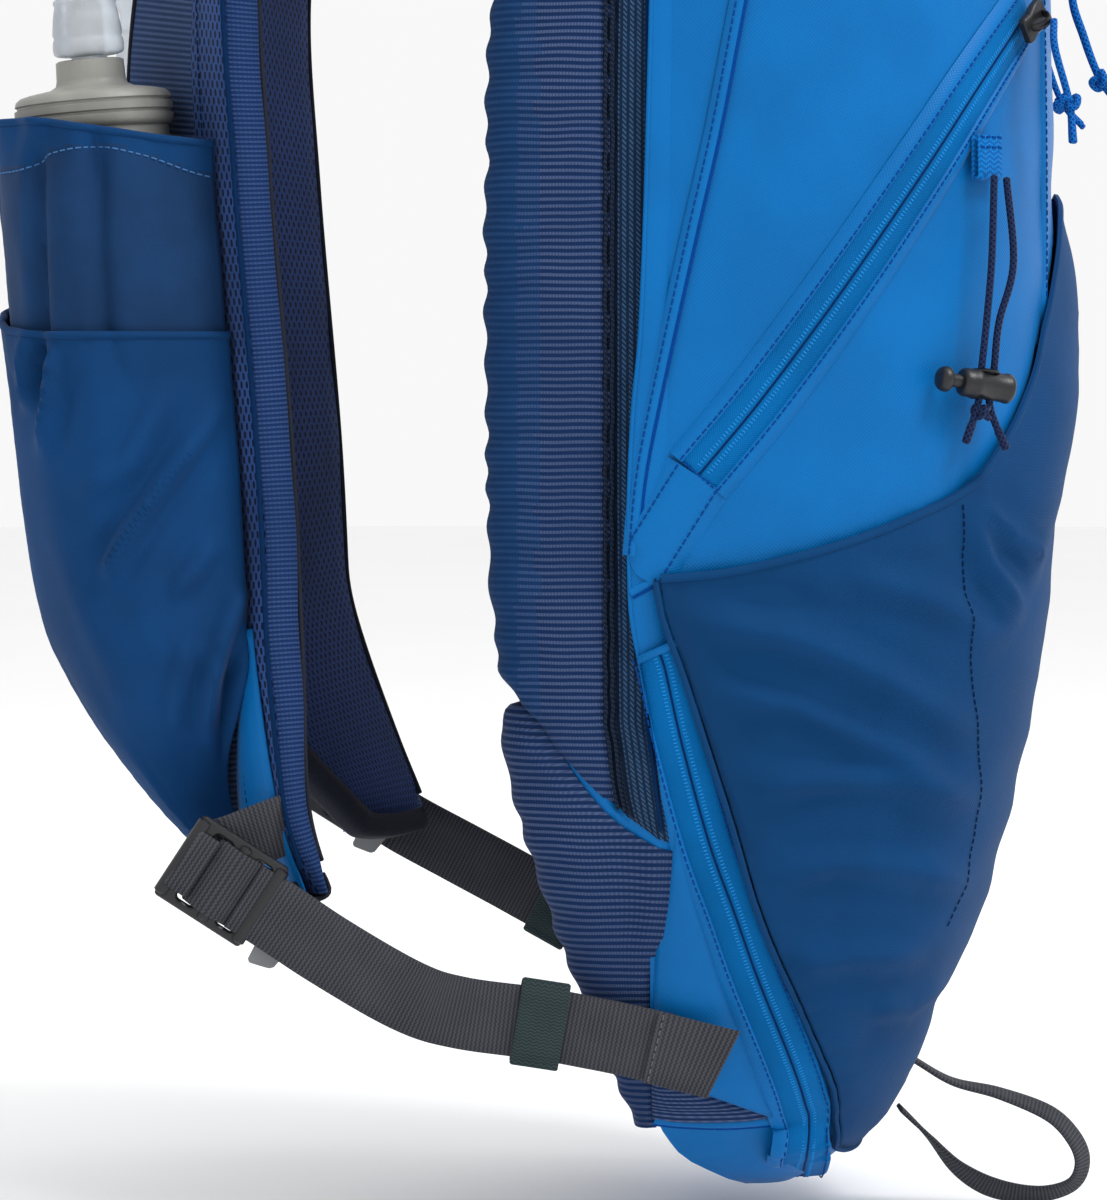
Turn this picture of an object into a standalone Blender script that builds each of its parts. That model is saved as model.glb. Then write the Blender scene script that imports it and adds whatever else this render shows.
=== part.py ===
"""A vest-style trail daypack: zipped shell, ribbed back pads, harness straps with soft flasks.

Design frame in metres. +X is the wearer's left, +Y points away from the wearer, +Z is up.
Y = 0 is the seam between the bag and its back pads, and Z = 0 is the underside of the bag.
The whole pack hangs from its haul loop, so an empty moves the origin to that loop's underside.
"""

import math

import bmesh
import bpy
from mathutils import Matrix, Vector

# ---- Driving dimensions -------------------------------------------------------------------
HOOK = Vector((0.0, -0.006, 0.478))  # underside of the haul loop, the pack's own origin
WALL = 0.0025  # lined fabric wall of the bag
GAP = 0.0005  # running gap between neighbouring pieces
ROUNDNESS = 2.6  # superellipse power of the bag's horizontal section

# Bag profile: (height, front face), (height, back face), (height, half width)
FRONT = ((-0.004, 0.044), (0.0, 0.051), (0.010, 0.064), (0.025, 0.0745), (0.05, 0.0845),
         (0.08, 0.0975), (0.105, 0.1045), (0.15, 0.113), (0.20, 0.117), (0.26, 0.118),
         (0.34, 0.117), (0.38, 0.111), (0.41, 0.100), (0.435, 0.082), (0.450, 0.062),
         (0.458, 0.044))
BACK = ((-0.004, 0.028), (0.0, 0.022), (0.010, 0.008), (0.025, 0.001), (0.05, 0.0),
        (0.38, 0.0), (0.42, 0.002), (0.44, 0.008), (0.45, 0.015), (0.458, 0.024))
HALF = ((-0.004, 0.040), (0.0, 0.055), (0.010, 0.071), (0.03, 0.088), (0.06, 0.101),
        (0.10, 0.112), (0.15, 0.119), (0.20, 0.122), (0.30, 0.120), (0.36, 0.116),
        (0.40, 0.110), (0.43, 0.097), (0.45, 0.076), (0.458, 0.056))
LEVELS = (-0.004, 0.0, 0.005, 0.012, 0.022, 0.035, 0.055, 0.08, 0.11, 0.15, 0.20, 0.25,
          0.30, 0.34, 0.37, 0.395, 0.415, 0.43, 0.441, 0.450, 0.458)

LID_HINGE = Vector((0.0, 0.1185, 0.3455))  # front end of the lid's slanted cut
LID_TOP = Vector((0.0, 0.030, 0.463))  # rear end of the cut, at the top of the bag
LID_GAP = 0.0010

STRAP_THICK = 0.011
WEB_WIDTH = 0.020
WEB_THICK = 0.0016
CORD = 0.002
BUNGEE = 0.0021

# ---- Small tools --------------------------------------------------------------------------
for leftover in list(bpy.data.objects):
    bpy.data.objects.remove(leftover, do_unlink=True)

PACK = bpy.data.objects.new("pack_frame", None)
PACK.location = -HOOK
bpy.context.scene.collection.objects.link(PACK)
FINISHES = {}


def finish(name, colour, roughness, metallic=0.0):
    """A Principled material with one colour, made once."""
    if name not in FINISHES:
        made = bpy.data.materials.new(name)
        made.use_nodes = True
        shader = made.node_tree.nodes["Principled BSDF"]
        shader.inputs["Base Color"].default_value = (*colour, 1.0)
        shader.inputs["Roughness"].default_value = roughness
        shader.inputs["Metallic"].default_value = metallic
        FINISHES[name] = made
    return FINISHES[name]


SHELL_BLUE = finish("shell_fabric", (0.0, 0.21, 0.58), 0.55)
STRETCH_BLUE = finish("stretch_fabric", (0.006, 0.064, 0.205), 0.7)
PAD_NAVY = finish("pad_mesh", (0.022, 0.045, 0.14), 0.85)
WEBBING = finish("webbing", (0.045, 0.048, 0.056), 0.8)
KEEPER_GREEN = finish("keeper_elastic", (0.035, 0.06, 0.06), 0.8)
ZIP_BLUE = finish("zip_tape", (0.0, 0.17, 0.5), 0.6)
CORD_BLUE = finish("pull_cord", (0.0, 0.1, 0.4), 0.6)
CORD_NAVY = finish("bungee_cord", (0.008, 0.016, 0.05), 0.6)
BLACK_PLASTIC = finish("black_plastic", (0.015, 0.016, 0.018), 0.4)
CAP_GREY = finish("cap_plastic", (0.22, 0.22, 0.2), 0.45)
FLASK_CLEAR = finish("flask_film", (0.5, 0.58, 0.65), 0.25)
FOAM_GREY = finish("foam", (0.1, 0.1, 0.11), 0.9)


def mesh_object(name, mesh, material, origin=None):
    """Puts a mesh in the pack frame, with its origin moved to a joint's axis if one is given."""
    made = bpy.data.objects.new(name, mesh)
    mesh.materials.append(material)
    made.parent = PACK
    if origin is not None:
        mesh.transform(Matrix.Translation(-origin))
        made.location = origin
    bpy.context.scene.collection.objects.link(made)
    return made


def from_bmesh(name, bm, material, origin=None, smooth=True):
    bm.normal_update()
    bmesh.ops.recalc_face_normals(bm, faces=bm.faces)
    if bm.calc_volume(signed=True) < 0:
        bmesh.ops.reverse_faces(bm, faces=bm.faces)
    mesh = bpy.data.meshes.new(name)
    bm.to_mesh(mesh)
    bm.free()
    if smooth:
        mesh.shade_smooth()
        mesh.set_sharp_from_angle(angle=math.radians(40))
    return mesh_object(name, mesh, material, origin)


def loft(name, rings, material, origin=None, smooth=True):
    """Closed solid through rings of equal length, with a flat face on each end."""
    bm = bmesh.new()
    rows = [[bm.verts.new(point) for point in ring] for ring in rings]
    count = len(rings[0])
    for low, high in zip(rows, rows[1:]):
        for i in range(count):
            j = (i + 1) % count
            bm.faces.new((low[i], low[j], high[j], high[i]))
    bm.faces.new(list(reversed(rows[0])))
    bm.faces.new(rows[-1])
    return from_bmesh(name, bm, material, origin, smooth)


def sheet_solid(name, outer, inner, material, origin=None):
    """Closed sheet between two grids of points of the same size."""
    bm = bmesh.new()
    top = [[bm.verts.new(point) for point in row] for row in outer]
    low = [[bm.verts.new(point) for point in row] for row in inner]
    rows, columns = len(top), len(top[0])
    for i in range(rows - 1):
        for j in range(columns - 1):
            bm.faces.new((top[i][j], top[i][j + 1], top[i + 1][j + 1], top[i + 1][j]))
            bm.faces.new((low[i][j], low[i + 1][j], low[i + 1][j + 1], low[i][j + 1]))
    rim = [(0, j) for j in range(columns)] + [(i, columns - 1) for i in range(1, rows)]
    rim += [(rows - 1, j) for j in range(columns - 2, -1, -1)]
    rim += [(i, 0) for i in range(rows - 2, 0, -1)]
    for (i, j), (k, m) in zip(rim, rim[1:] + rim[:1]):
        bm.faces.new((top[i][j], low[i][j], low[k][m], top[k][m]))
    return from_bmesh(name, bm, material, origin)


def smooth_line(knots):
    """Monotone cubic through (position, value) pairs."""
    at = [knot[0] for knot in knots]
    value = [knot[1] for knot in knots]
    step = [b - a for a, b in zip(at, at[1:])]
    slope = [(b - a) / h for a, b, h in zip(value, value[1:], step)]
    tangent = [slope[0]]
    for before, after in zip(slope, slope[1:]):
        flat = before * after <= 0
        tangent.append(0.0 if flat else 2 * before * after / (before + after))
    tangent.append(slope[-1])

    def read(x):
        x = min(max(x, at[0]), at[-1])
        i = max(k for k in range(len(step)) if at[k] <= x)
        t, h = (x - at[i]) / step[i], step[i]
        return (
            (1 + 2 * t) * (1 - t) ** 2 * value[i]
            + t * (1 - t) ** 2 * h * tangent[i]
            + t * t * (3 - 2 * t) * value[i + 1]
            + t * t * (t - 1) * h * tangent[i + 1]
        )

    return read


def smooth_path(points, count):
    """Evenly spaced points on a Catmull-Rom curve through the given ones."""
    points = [Vector(p) for p in points]
    ends = [2 * points[0] - points[1]] + points + [2 * points[-1] - points[-2]]
    dense = []
    for a, b, c, d in zip(ends, ends[1:], ends[2:], ends[3:]):
        for k in range(24):
            t = k / 24
            dense.append(
                0.5 * (2 * b + (c - a) * t + (2 * a - 5 * b + 4 * c - d) * t * t
                       + (3 * b - a - 3 * c + d) * t ** 3)
            )
    dense.append(points[-1])
    run = [0.0]
    for a, b in zip(dense, dense[1:]):
        run.append(run[-1] + (b - a).length)
    out, k = [], 0
    for i in range(count):
        want = run[-1] * i / (count - 1)
        while k < len(run) - 2 and run[k + 1] < want:
            k += 1
        part = (want - run[k]) / max(run[k + 1] - run[k], 1e-12)
        out.append(dense[k].lerp(dense[k + 1], min(max(part, 0.0), 1.0)))
    return out


def tangents(path):
    ends = [path[0]] + list(path) + [path[-1]]
    return [(after - before).normalized() for before, after in zip(ends, ends[2:])]


def ribbon(name, path, across, width, thick, material, origin=None):
    """A flat strip along a path; across holds the width direction at each point."""
    rings = []
    for point, along, side in zip(path, tangents(path), across):
        side = (side - along * side.dot(along)).normalized() * (width / 2)
        up = along.cross(side).normalized() * (thick / 2)
        rings.append([point + side + up, point - side + up, point - side - up, point + side - up])
    return loft(name, rings, material, origin, smooth=False)


def cord_tube(name, route, diameter, material, count, origin=None):
    """A round cord: a bevelled poly curve through points of a smooth route."""
    curve = bpy.data.curves.new(name, "CURVE")
    curve.dimensions = "3D"
    curve.bevel_depth = diameter / 2
    curve.bevel_resolution = 2
    curve.use_fill_caps = True
    spline = curve.splines.new("POLY")
    points = smooth_path(route, count)
    spline.points.add(count - 1)
    base = origin or Vector((0, 0, 0))
    for slot, point in zip(spline.points, points):
        slot.co = (*(point - base), 1.0)
    made = bpy.data.objects.new(name, curve)
    curve.materials.append(material)
    made.parent = PACK
    made.location = base
    bpy.context.scene.collection.objects.link(made)
    return made


def turned(name, profile, base, axis, material, sides=24, origin=None):
    """Solid of revolution; profile holds (radius, distance along axis)."""
    turn = axis.normalized().to_track_quat("Z", "Y")
    rings = []
    for radius, height in profile:
        ring = []
        for k in range(sides):
            a = 2 * math.pi * k / sides
            ring.append(base + turn @ Vector((radius * math.cos(a), radius * math.sin(a), height)))
        rings.append(ring)
    return loft(name, rings, material, origin)


def turned_ring(name, profile, base, axis, material, sides):
    """Ring of revolution whose closed section is the profile of (radius, distance)."""
    turn = axis.normalized().to_track_quat("Z", "Y")
    bm = bmesh.new()
    rows = []
    for radius, height in profile:
        row = []
        for k in range(sides):
            a = 2 * math.pi * k / sides
            spot = turn @ Vector((radius * math.cos(a), radius * math.sin(a), height))
            row.append(bm.verts.new(base + spot))
        rows.append(row)
    for low, high in zip(rows, rows[1:] + rows[:1]):
        for i in range(sides):
            j = (i + 1) % sides
            bm.faces.new((low[i], low[j], high[j], high[i]))
    return from_bmesh(name, bm, material, base)


def block(name, centre, axes, size, material, origin=None, bevel=0.0):
    """A box on three given axes, with an optional rounded edge."""
    bm = bmesh.new()
    bmesh.ops.create_cube(bm, size=1.0)
    for vert in bm.verts:
        x, y, z = vert.co
        vert.co = centre + axes[0] * x * size[0] + axes[1] * y * size[1] + axes[2] * z * size[2]
    bm.normal_update()
    if bevel:
        bmesh.ops.bevel(bm, geom=list(bm.edges), offset=bevel, segments=1, affect="EDGES",
                        profile=0.5, clamp_overlap=True)
    return from_bmesh(name, bm, material, origin, smooth=False)


def combine(target, tool, operation):
    """Joins a shape to target or takes it away, and keeps that shape as a hidden guide."""
    tool.hide_render = True
    tool.display_type = "WIRE"
    boolean = target.modifiers.new(tool.name, "BOOLEAN")
    boolean.operation = operation
    boolean.solver = "EXACT"
    boolean.object = tool


def cut(target, cutter):
    combine(target, cutter, "DIFFERENCE")


# ---- The bag's surface --------------------------------------------------------------------
front_of, back_of, half_of = smooth_line(FRONT), smooth_line(BACK), smooth_line(HALF)


def signed_power(value, power):
    return math.copysign(abs(value) ** power, value)


def hull_point(t, z, out=0.0, side=1):
    """Point of the bag at section angle t, 0 at the back corner and pi/2 at the front centre."""
    def surface(angle, height):
        y0, depth = back_of(height), front_of(height) - back_of(height)
        x = half_of(height) * signed_power(math.cos(angle), 2 / ROUNDNESS)
        return Vector((x, y0 + depth * signed_power(math.sin(angle), 2 / ROUNDNESS), height))

    t = min(max(t, 0.02), math.pi - 0.02)
    point = surface(t, z)
    around = surface(t + 0.01, z) - surface(t - 0.01, z)
    upward = surface(t, min(z + 0.002, 0.4579)) - surface(t, max(z - 0.002, -0.0039))
    normal = around.cross(upward).normalized()
    point += normal * out
    point.x *= side
    normal.x *= side
    return point, normal


def hull_at(y, z, out=0.0, side=1):
    """Point and outward normal of the bag's side at a given depth and height."""
    depth = front_of(z) - back_of(z)
    share = min(max((y - back_of(z)) / depth, 0.0), 1.0)
    return hull_point(math.asin(share ** (ROUNDNESS / 2)), z, out, side)


def hull_ring(z, inset, around=26, across=5):
    ring = []
    y0, depth = back_of(z) + inset, front_of(z) - back_of(z) - 2 * inset
    wide = half_of(z) - inset
    for k in range(around + 1):
        t = math.pi * k / around
        ring.append(Vector((wide * signed_power(math.cos(t), 2 / ROUNDNESS),
                            y0 + depth * signed_power(math.sin(t), 2 / ROUNDNESS), z)))
    for k in range(1, across):
        ring.append(Vector((-wide + 2 * wide * k / across, y0, z)))
    return ring


def hull_shell(bm):
    """Adds the outer and inner skins of the bag as two closed surfaces."""
    for inset in (WALL, 0.0):
        rows = []
        for z in LEVELS:
            height = min(max(z, LEVELS[0] + inset), LEVELS[-1] - inset)
            if inset and rows and height - rows[-1][0].co.z < 0.002:
                continue
            rows.append([bm.verts.new(point) for point in hull_ring(height, inset)])
        count = len(rows[0])
        for low, high in zip(rows, rows[1:]):
            for i in range(count):
                j = (i + 1) % count
                bm.faces.new((low[i], low[j], high[j], high[i]))
        bm.faces.new(list(reversed(rows[0])))
        bm.faces.new(rows[-1])
        if inset:
            bmesh.ops.reverse_faces(bm, faces=bm.faces)


def half_shell(name, keep_lid):
    """The bag below its slanted cut, or the lid above it."""
    normal = Vector((0, LID_TOP.z - LID_HINGE.z, LID_HINGE.y - LID_TOP.y)).normalized()
    bm = bmesh.new()
    hull_shell(bm)
    at = LID_HINGE + normal * (LID_GAP / 2 if keep_lid else -LID_GAP / 2)
    cut_edges = bmesh.ops.bisect_plane(
        bm, geom=bm.verts[:] + bm.edges[:] + bm.faces[:], plane_co=at, plane_no=normal,
        clear_inner=keep_lid, clear_outer=not keep_lid)["geom_cut"]
    rim = [e for e in cut_edges if isinstance(e, bmesh.types.BMEdge)]
    bmesh.ops.bridge_loops(bm, edges=rim)
    return from_bmesh(name, bm, SHELL_BLUE, LID_HINGE if keep_lid else None)


def hull_strip(name, line, offset, width, thick, side, material, origin=None, count=None):
    """A strip that lies on the bag's side along a line of (depth, height) points."""
    route = smooth_path([(y, z, 0) for y, z in line], count or 4 * len(line))
    centre, facing = [], []
    for point in route:
        place, normal = hull_at(point.x, point.y, offset + thick / 2, side)
        centre.append(place)
        facing.append(normal)
    across = [normal.cross(along) for normal, along in zip(facing, tangents(centre))]
    return ribbon(name, centre, across, width, thick, material, origin)


def hull_patch(name, outline, offset, thick, side, material):
    """A panel on the bag's side; outline holds rows of (height, rear edge, front edge)."""
    rear = smooth_line([(z, a) for z, a, b in outline])
    fore = smooth_line([(z, b) for z, a, b in outline])
    low, high = outline[0][0], outline[-1][0]
    grids = []
    for out in (offset + thick, offset):
        rows = []
        for i in range(11):
            z = low + (high - low) * i / 10
            ys = [rear(z) + (fore(z) - rear(z)) * j / 5 for j in range(6)]
            rows.append([hull_at(y, z, out, side)[0] for y in ys])
        grids.append(rows)
    return sheet_solid(name, grids[0], grids[1], material)


# ---- Bag shell and what it holds ----------------------------------------------------------
def bag():
    half_shell("main_bag", keep_lid=False)
    half_shell("top_lid", keep_lid=True)
    level = (Vector((1, 0, 0)), Vector((0, 1, 0)), Vector((0, 0, 1)))
    block("back_foam", Vector((0, 0.0065, 0.225)), level, (0.196, 0.006, 0.33), FOAM_GREY,
          bevel=0.0015)
    block("hydration_sleeve", Vector((0, 0.0125, 0.25)), level, (0.16, 0.003, 0.25),
          STRETCH_BLUE, bevel=0.0008)


PAD_OUT = ((0.10, 0.028), (0.125, 0.037), (0.15, 0.042), (0.20, 0.045), (0.30, 0.045),
           (0.36, 0.040), (0.40, 0.028), (0.418, 0.016))
LUMBAR_OUT = ((0.018, 0.006), (0.04, 0.014), (0.06, 0.021), (0.08, 0.028), (0.098, 0.033),
              (0.120, 0.036))


def pad(name, profile, levels, half_width, hollow):
    """A back pad: thick at its side edges and thinner along the spine."""
    thick = smooth_line(profile)
    rings = []
    for z in levels:
        wide, deep = half_width(z), thick(z)
        ring = []
        for k in range(13):
            share = -1 + k / 6
            bulge = deep * (1 - hollow * (1 - abs(share) ** 1.6))
            edge = 1 - max(abs(share) - 0.85, 0) / 0.15 * 0.55
            ring.append(Vector((wide * share, -GAP - bulge * edge, z)))
        ring.append(Vector((wide, -GAP, z)))
        ring.append(Vector((-wide, -GAP, z)))
        rings.append(ring)
    return loft(name, rings, PAD_NAVY)


def back_pads():
    pad("back_pad", PAD_OUT, (0.127, 0.16, 0.20, 0.25, 0.30, 0.34, 0.375, 0.40, 0.415),
        lambda z: min(half_of(z), 0.119) - 0.001, 0.45)
    pad("lumbar_pad", LUMBAR_OUT, (0.02, 0.035, 0.055, 0.08, 0.10, 0.118),
        lambda z: half_of(z) - 0.001, 0.35)


# Side wing: (height, rear edge, front edge) of the bright panel behind the lower zip
WING = ((0.012, 0.012, 0.024), (0.027, 0.003, 0.026), (0.041, 0.001, 0.0225),
        (0.058, 0.001, 0.0175), (0.075, 0.001, 0.012), (0.092, 0.0015, 0.006))


def side_wing(tag, side):
    hull_patch("side_wing_" + tag, WING, 0.0012, 0.0012, side, SHELL_BLUE)


# Stretch pocket, in section angle: upper hem and lower seam heights
HEM = ((0.022, 0.1768), (0.0934, 0.1781), (0.273, 0.1833), (0.433, 0.1885), (0.576, 0.1937),
       (0.691, 0.1978), (0.788, 0.2030), (0.858, 0.2090), (0.935, 0.2158), (1.06, 0.2303),
       (1.25, 0.258), (1.45, 0.279), (math.pi / 2, 0.284))
SEAM = ((0.022, 0.1690), (0.055, 0.1511), (0.078, 0.1340), (0.121, 0.1162), (0.215, 0.0860),
        (0.285, 0.0717), (0.395, 0.0562), (0.519, 0.0422), (0.648, 0.0294), (0.738, 0.0194),
        (0.864, 0.0105), (1.10, 0.0085), (math.pi / 2, 0.008))
POCKET_GAPE = 0.0064  # how far the hem stands off the bag at its fullest


def front_pocket():
    """One stretch sheet round the bag's front, standing clear of it along the hem."""
    hem, seam = smooth_line(HEM), smooth_line(SEAM)
    rows, first, half = 14, HEM[0][0], 20
    angles = [first + (math.pi / 2 - first) * (k / half) ** 1.35 for k in range(half + 1)]
    angles += [math.pi - t for t in reversed(angles[:-1])]
    grids = []
    for skin in (0.0012, 0.0):
        grid = []
        for i in range(rows + 1):
            row = []
            for t in angles:
                fold = min(t, math.pi - t)
                z = seam(fold) + (hem(fold) - seam(fold)) * i / rows
                middle = min(max((fold - 0.75) / 0.8, 0.0), 1.0)
                rise = max(i / rows - 0.70, 0) / 0.30
                gape = POCKET_GAPE * middle * math.sin(math.pi * rise * 0.8)
                row.append(hull_point(t, z, 0.0014 + gape + skin)[0])
            grid.append(row)
        grids.append(grid)
    sheet_solid("front_pocket", grids[0], grids[1], STRETCH_BLUE)


# ---- Zips ---------------------------------------------------------------------------------
SIDE_ZIP = ((0.0129, 0.2041), (0.0304, 0.2254), (0.0522, 0.2550), (0.0740, 0.2870),
            (0.0905, 0.3125), (0.1045, 0.3335))
LOWER_ZIP = ((0.0040, 0.153), (0.0085, 0.131), (0.0160, 0.1033), (0.0229, 0.0838),
             (0.0294, 0.0647), (0.0375, 0.0433), (0.0420, 0.030), (0.0450, 0.018))
MAIN_ZIP_DEPTHS = (0.1125, 0.106, 0.098, 0.088, 0.076, 0.064, 0.053, 0.046, 0.041)
MAIN_SLIDER_DEPTH = 0.1100
SLIDER_OUT = 0.0056  # how far a slider's middle stands off the bag
SLIDER_MAIN_OUT = 0.0074
SLIDER_SIZE = (0.0125, 0.0085, 0.0028)
BAIL_SIZE = (0.0075, 0.0025, 0.0030)
BAIL_OUT = 0.0022  # bail's middle above the slider's middle
PULL_OUT = 0.0064  # where a pull cord starts, above the slider's middle
# Pull cords, below the point where each starts
SIDE_PULL = ((0.0847, 0.1127, 0.3225), (0.0831, 0.1166, 0.3110), (0.0826, 0.1176, 0.3010))
MAIN_PULL = ((0.0640, 0.1190, 0.3400), (0.0660, 0.1222, 0.3270), (0.0671, 0.1253, 0.3165),
             (0.0681, 0.1303, 0.3110))


def slider_axes(place, toward, normal):
    along = (toward - place).normalized()
    normal = (normal - along * normal.dot(along)).normalized()
    return along, normal.cross(along), normal


def zip_slider(name, place, axes):
    """A slider body with a bail that its pull cord is tied to."""
    body = block(name, place, axes, SLIDER_SIZE, BLACK_PLASTIC, place, bevel=0.0008)
    bail = block(name + "_bail", place + axes[2] * BAIL_OUT, axes, BAIL_SIZE, BLACK_PLASTIC,
                 place, bevel=0.0005)
    combine(body, bail, "UNION")


def zip_pull(name, slider, axes, route):
    """A pull cord from the slider's bail down to its knot and tails."""
    points = [slider + axes[2] * PULL_OUT] + [Vector(p) for p in route]
    cord_tube(name, points, 2 * CORD, CORD_BLUE, 12, slider)


def side_zip(tag, side):
    hull_strip("side_zip_" + tag, SIDE_ZIP, 0.0010, 0.013, 0.0012, side, ZIP_BLUE, count=12)
    top, normal = hull_at(0.1025, 0.3305, SLIDER_OUT, side)
    low, _ = hull_at(0.0940, 0.3177, SLIDER_OUT, side)
    axes = slider_axes(top, low, normal)
    zip_slider("side_zip_slider_" + tag, top, axes)
    route = [(side * x, y, z) for x, y, z in SIDE_PULL]
    zip_pull("side_zip_pull_" + tag, top, axes, route)


def on_cut(y, shift, out, side):
    """Point of the bag's surface on the lid's cut, shifted across it by a small distance."""
    slope = (LID_TOP.z - LID_HINGE.z) / (LID_HINGE.y - LID_TOP.y)
    normal = Vector((0, slope, 1)).normalized()
    z = LID_HINGE.z + (LID_HINGE.y - y) * slope
    y, z = y + normal.y * shift, z + normal.z * shift
    z = min(z, 0.4575)
    y = min(max(y, back_of(z) + 0.001), front_of(z) - 0.0002)
    return hull_at(y, z, out, side)


def main_zip():
    """Both tapes of the lid's zip, one on each side of the slanted cut."""
    for name, shift in (("main_zip", -0.0042), ("lid_zip", 0.0042)):
        points = [on_cut(y, shift, 0.0016, 1) for y in MAIN_ZIP_DEPTHS]
        rear = LID_TOP.y + 0.0030 + shift * 1.25
        points += [(Vector((x, rear, 0.4600)), Vector((0, 0, 1)))
                   for x in (0.060, 0.02, -0.02, -0.060)]
        points += [on_cut(y, shift, 0.0016, -1) for y in reversed(MAIN_ZIP_DEPTHS)]
        centre = [point for point, _ in points]
        across = [normal.cross(along) for (_, normal), along in zip(points, tangents(centre))]
        ribbon(name, centre, across, 0.007, 0.0012, ZIP_BLUE,
               LID_HINGE if name == "lid_zip" else None)


def main_slider(tag, side):
    place, normal = on_cut(MAIN_SLIDER_DEPTH, 0.0, SLIDER_MAIN_OUT, side)
    toward, _ = on_cut(MAIN_SLIDER_DEPTH - 0.0105, 0.0, SLIDER_MAIN_OUT, side)
    axes = slider_axes(place, toward, normal)
    zip_slider("main_zip_slider_" + tag, place, axes)
    route = [(side * x, y, z) for x, y, z in MAIN_PULL]
    zip_pull("main_zip_pull_" + tag, place, axes, route)


def lower_zip():
    """The zip that runs down one side, under the bag and up the other side."""
    sides = []
    for side in (1, -1):
        route = smooth_path([(y, z, 0) for y, z in LOWER_ZIP], 14)
        sides.append([hull_at(p.x, p.y, 0.0018, side) for p in route])
    under = [(Vector((side * x, 0.0445, z)), Vector((side * 0.5 * x / 0.055, 0, -1)).normalized())
             for side, x, z in ((1, 0.064, 0.0075), (1, 0.053, -0.0030), (1, 0.035, -0.0065),
                                (-1, 0.035, -0.0065), (-1, 0.053, -0.0030), (-1, 0.064, 0.0075))]
    points = sides[0] + under + list(reversed(sides[1]))
    centre = [point for point, _ in points]
    across = [normal.cross(along) for (_, normal), along in zip(points, tangents(centre))]
    ribbon("lower_zip", centre, across, 0.011, 0.0012, ZIP_BLUE)
    top, normal = hull_at(0.0052, 0.1475, SLIDER_OUT, -1)
    low, _ = hull_at(0.0110, 0.1220, SLIDER_OUT, -1)
    zip_slider("lower_zip_slider", top, slider_axes(top, low, normal))


# ---- Loops --------------------------------------------------------------------------------
def haul_loop():
    """A webbing grab loop, flat along its top, that the pack hangs from."""
    path = [(-0.034, -0.003, 0.437), (-0.033, -0.0045, 0.455), (-0.030, -0.006, 0.470),
            (-0.022, -0.006, 0.4788), (0.022, -0.006, 0.4788), (0.030, -0.006, 0.470),
            (0.033, -0.0045, 0.455), (0.034, -0.003, 0.437)]
    path = [Vector(p) for p in path]
    ribbon("haul_loop", path, [Vector((0, 1, 0))] * len(path), 0.014, WEB_THICK, WEBBING)


TOOL_LOOP = ((0.0000, 0.0785, 0.0270), (0.0005, 0.0900, 0.0205), (0.0010, 0.1041, 0.0170),
             (0.0015, 0.1189, 0.0111), (0.0015, 0.1264, 0.0037), (0.0010, 0.1290, -0.0037),
             (0.0000, 0.1260, -0.0105), (-0.0010, 0.1160, -0.0136), (-0.0020, 0.1030, -0.0120),
             (-0.0020, 0.0922, -0.0060), (-0.0015, 0.0833, 0.0037), (0.0000, 0.0745, 0.0125))


def tool_loop():
    path = smooth_path(TOOL_LOOP, 26)
    ribbon("tool_loop", path, [Vector((1, 0, 0))] * len(path), 0.009, 0.0014, WEBBING)


# ---- Bungee with cord lock ----------------------------------------------------------------
# Cord lock and its button: (radius, distance along the barrel)
CORD_LOCK = ((0.0034, 0.0), (0.0040, 0.001), (0.0040, 0.0145), (0.0034, 0.0155))
LOCK_BUTTON = ((0.0030, 0.0), (0.0034, 0.0008), (0.0034, 0.0020), (0.0026, 0.0028))


def bungee(tag, side):
    """A shock-cord loop that hangs from a webbing anchor and is gripped by a sprung cord lock."""
    def at(x, y, z):
        return Vector((side * x, y, z))

    place, normal = hull_at(0.0905, 0.2925, 0.0042, side)
    axes = slider_axes(place, place + Vector((0, 0, -1)), normal)
    block("bungee_anchor_" + tag, place, axes, (0.010, 0.012, 0.0026), SHELL_BLUE, bevel=0.0006)
    lock_at = at(0.1035, 0.0905, 0.229)
    eye = place + normal * 0.0045 + Vector((0, 0, -0.0065))
    up = (eye - lock_at).normalized()
    barrel = at(-0.45, 0.893, 0)
    barrel = (barrel - up * barrel.dot(up)).normalized()
    body = turned("cord_lock_" + tag, CORD_LOCK, lock_at - barrel * 0.0055, barrel,
                  BLACK_PLASTIC, 16, lock_at)
    channel = block("cord_lock_channel_" + tag, lock_at + barrel * 0.0025,
                    (barrel, up.cross(barrel), up), (0.0090, 0.0036, 0.03), BLACK_PLASTIC, lock_at)
    cut(body, channel)
    turned("cord_lock_button_" + tag, LOCK_BUTTON, lock_at - barrel * 0.0118, barrel,
           BLACK_PLASTIC, 16, lock_at - barrel * 0.0118)
    for name, shift, bow in (("rear", 0.0005, 0.0), ("front", 0.0045, 0.0030)):
        grip = lock_at + barrel * shift
        start = eye + barrel * (shift - 0.0025)
        middle = start.lerp(grip, 0.40) + barrel * bow
        tail = grip + Vector((0, 0, -0.0165)) + barrel * (2.2 * (shift - 0.0025))
        route = [start, middle, grip + up * 0.018, grip + up * 0.006, grip, grip - up * 0.0060, tail]
        cord_tube("bungee_" + name + "_" + tag, route, BUNGEE, CORD_NAVY, 20)


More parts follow.
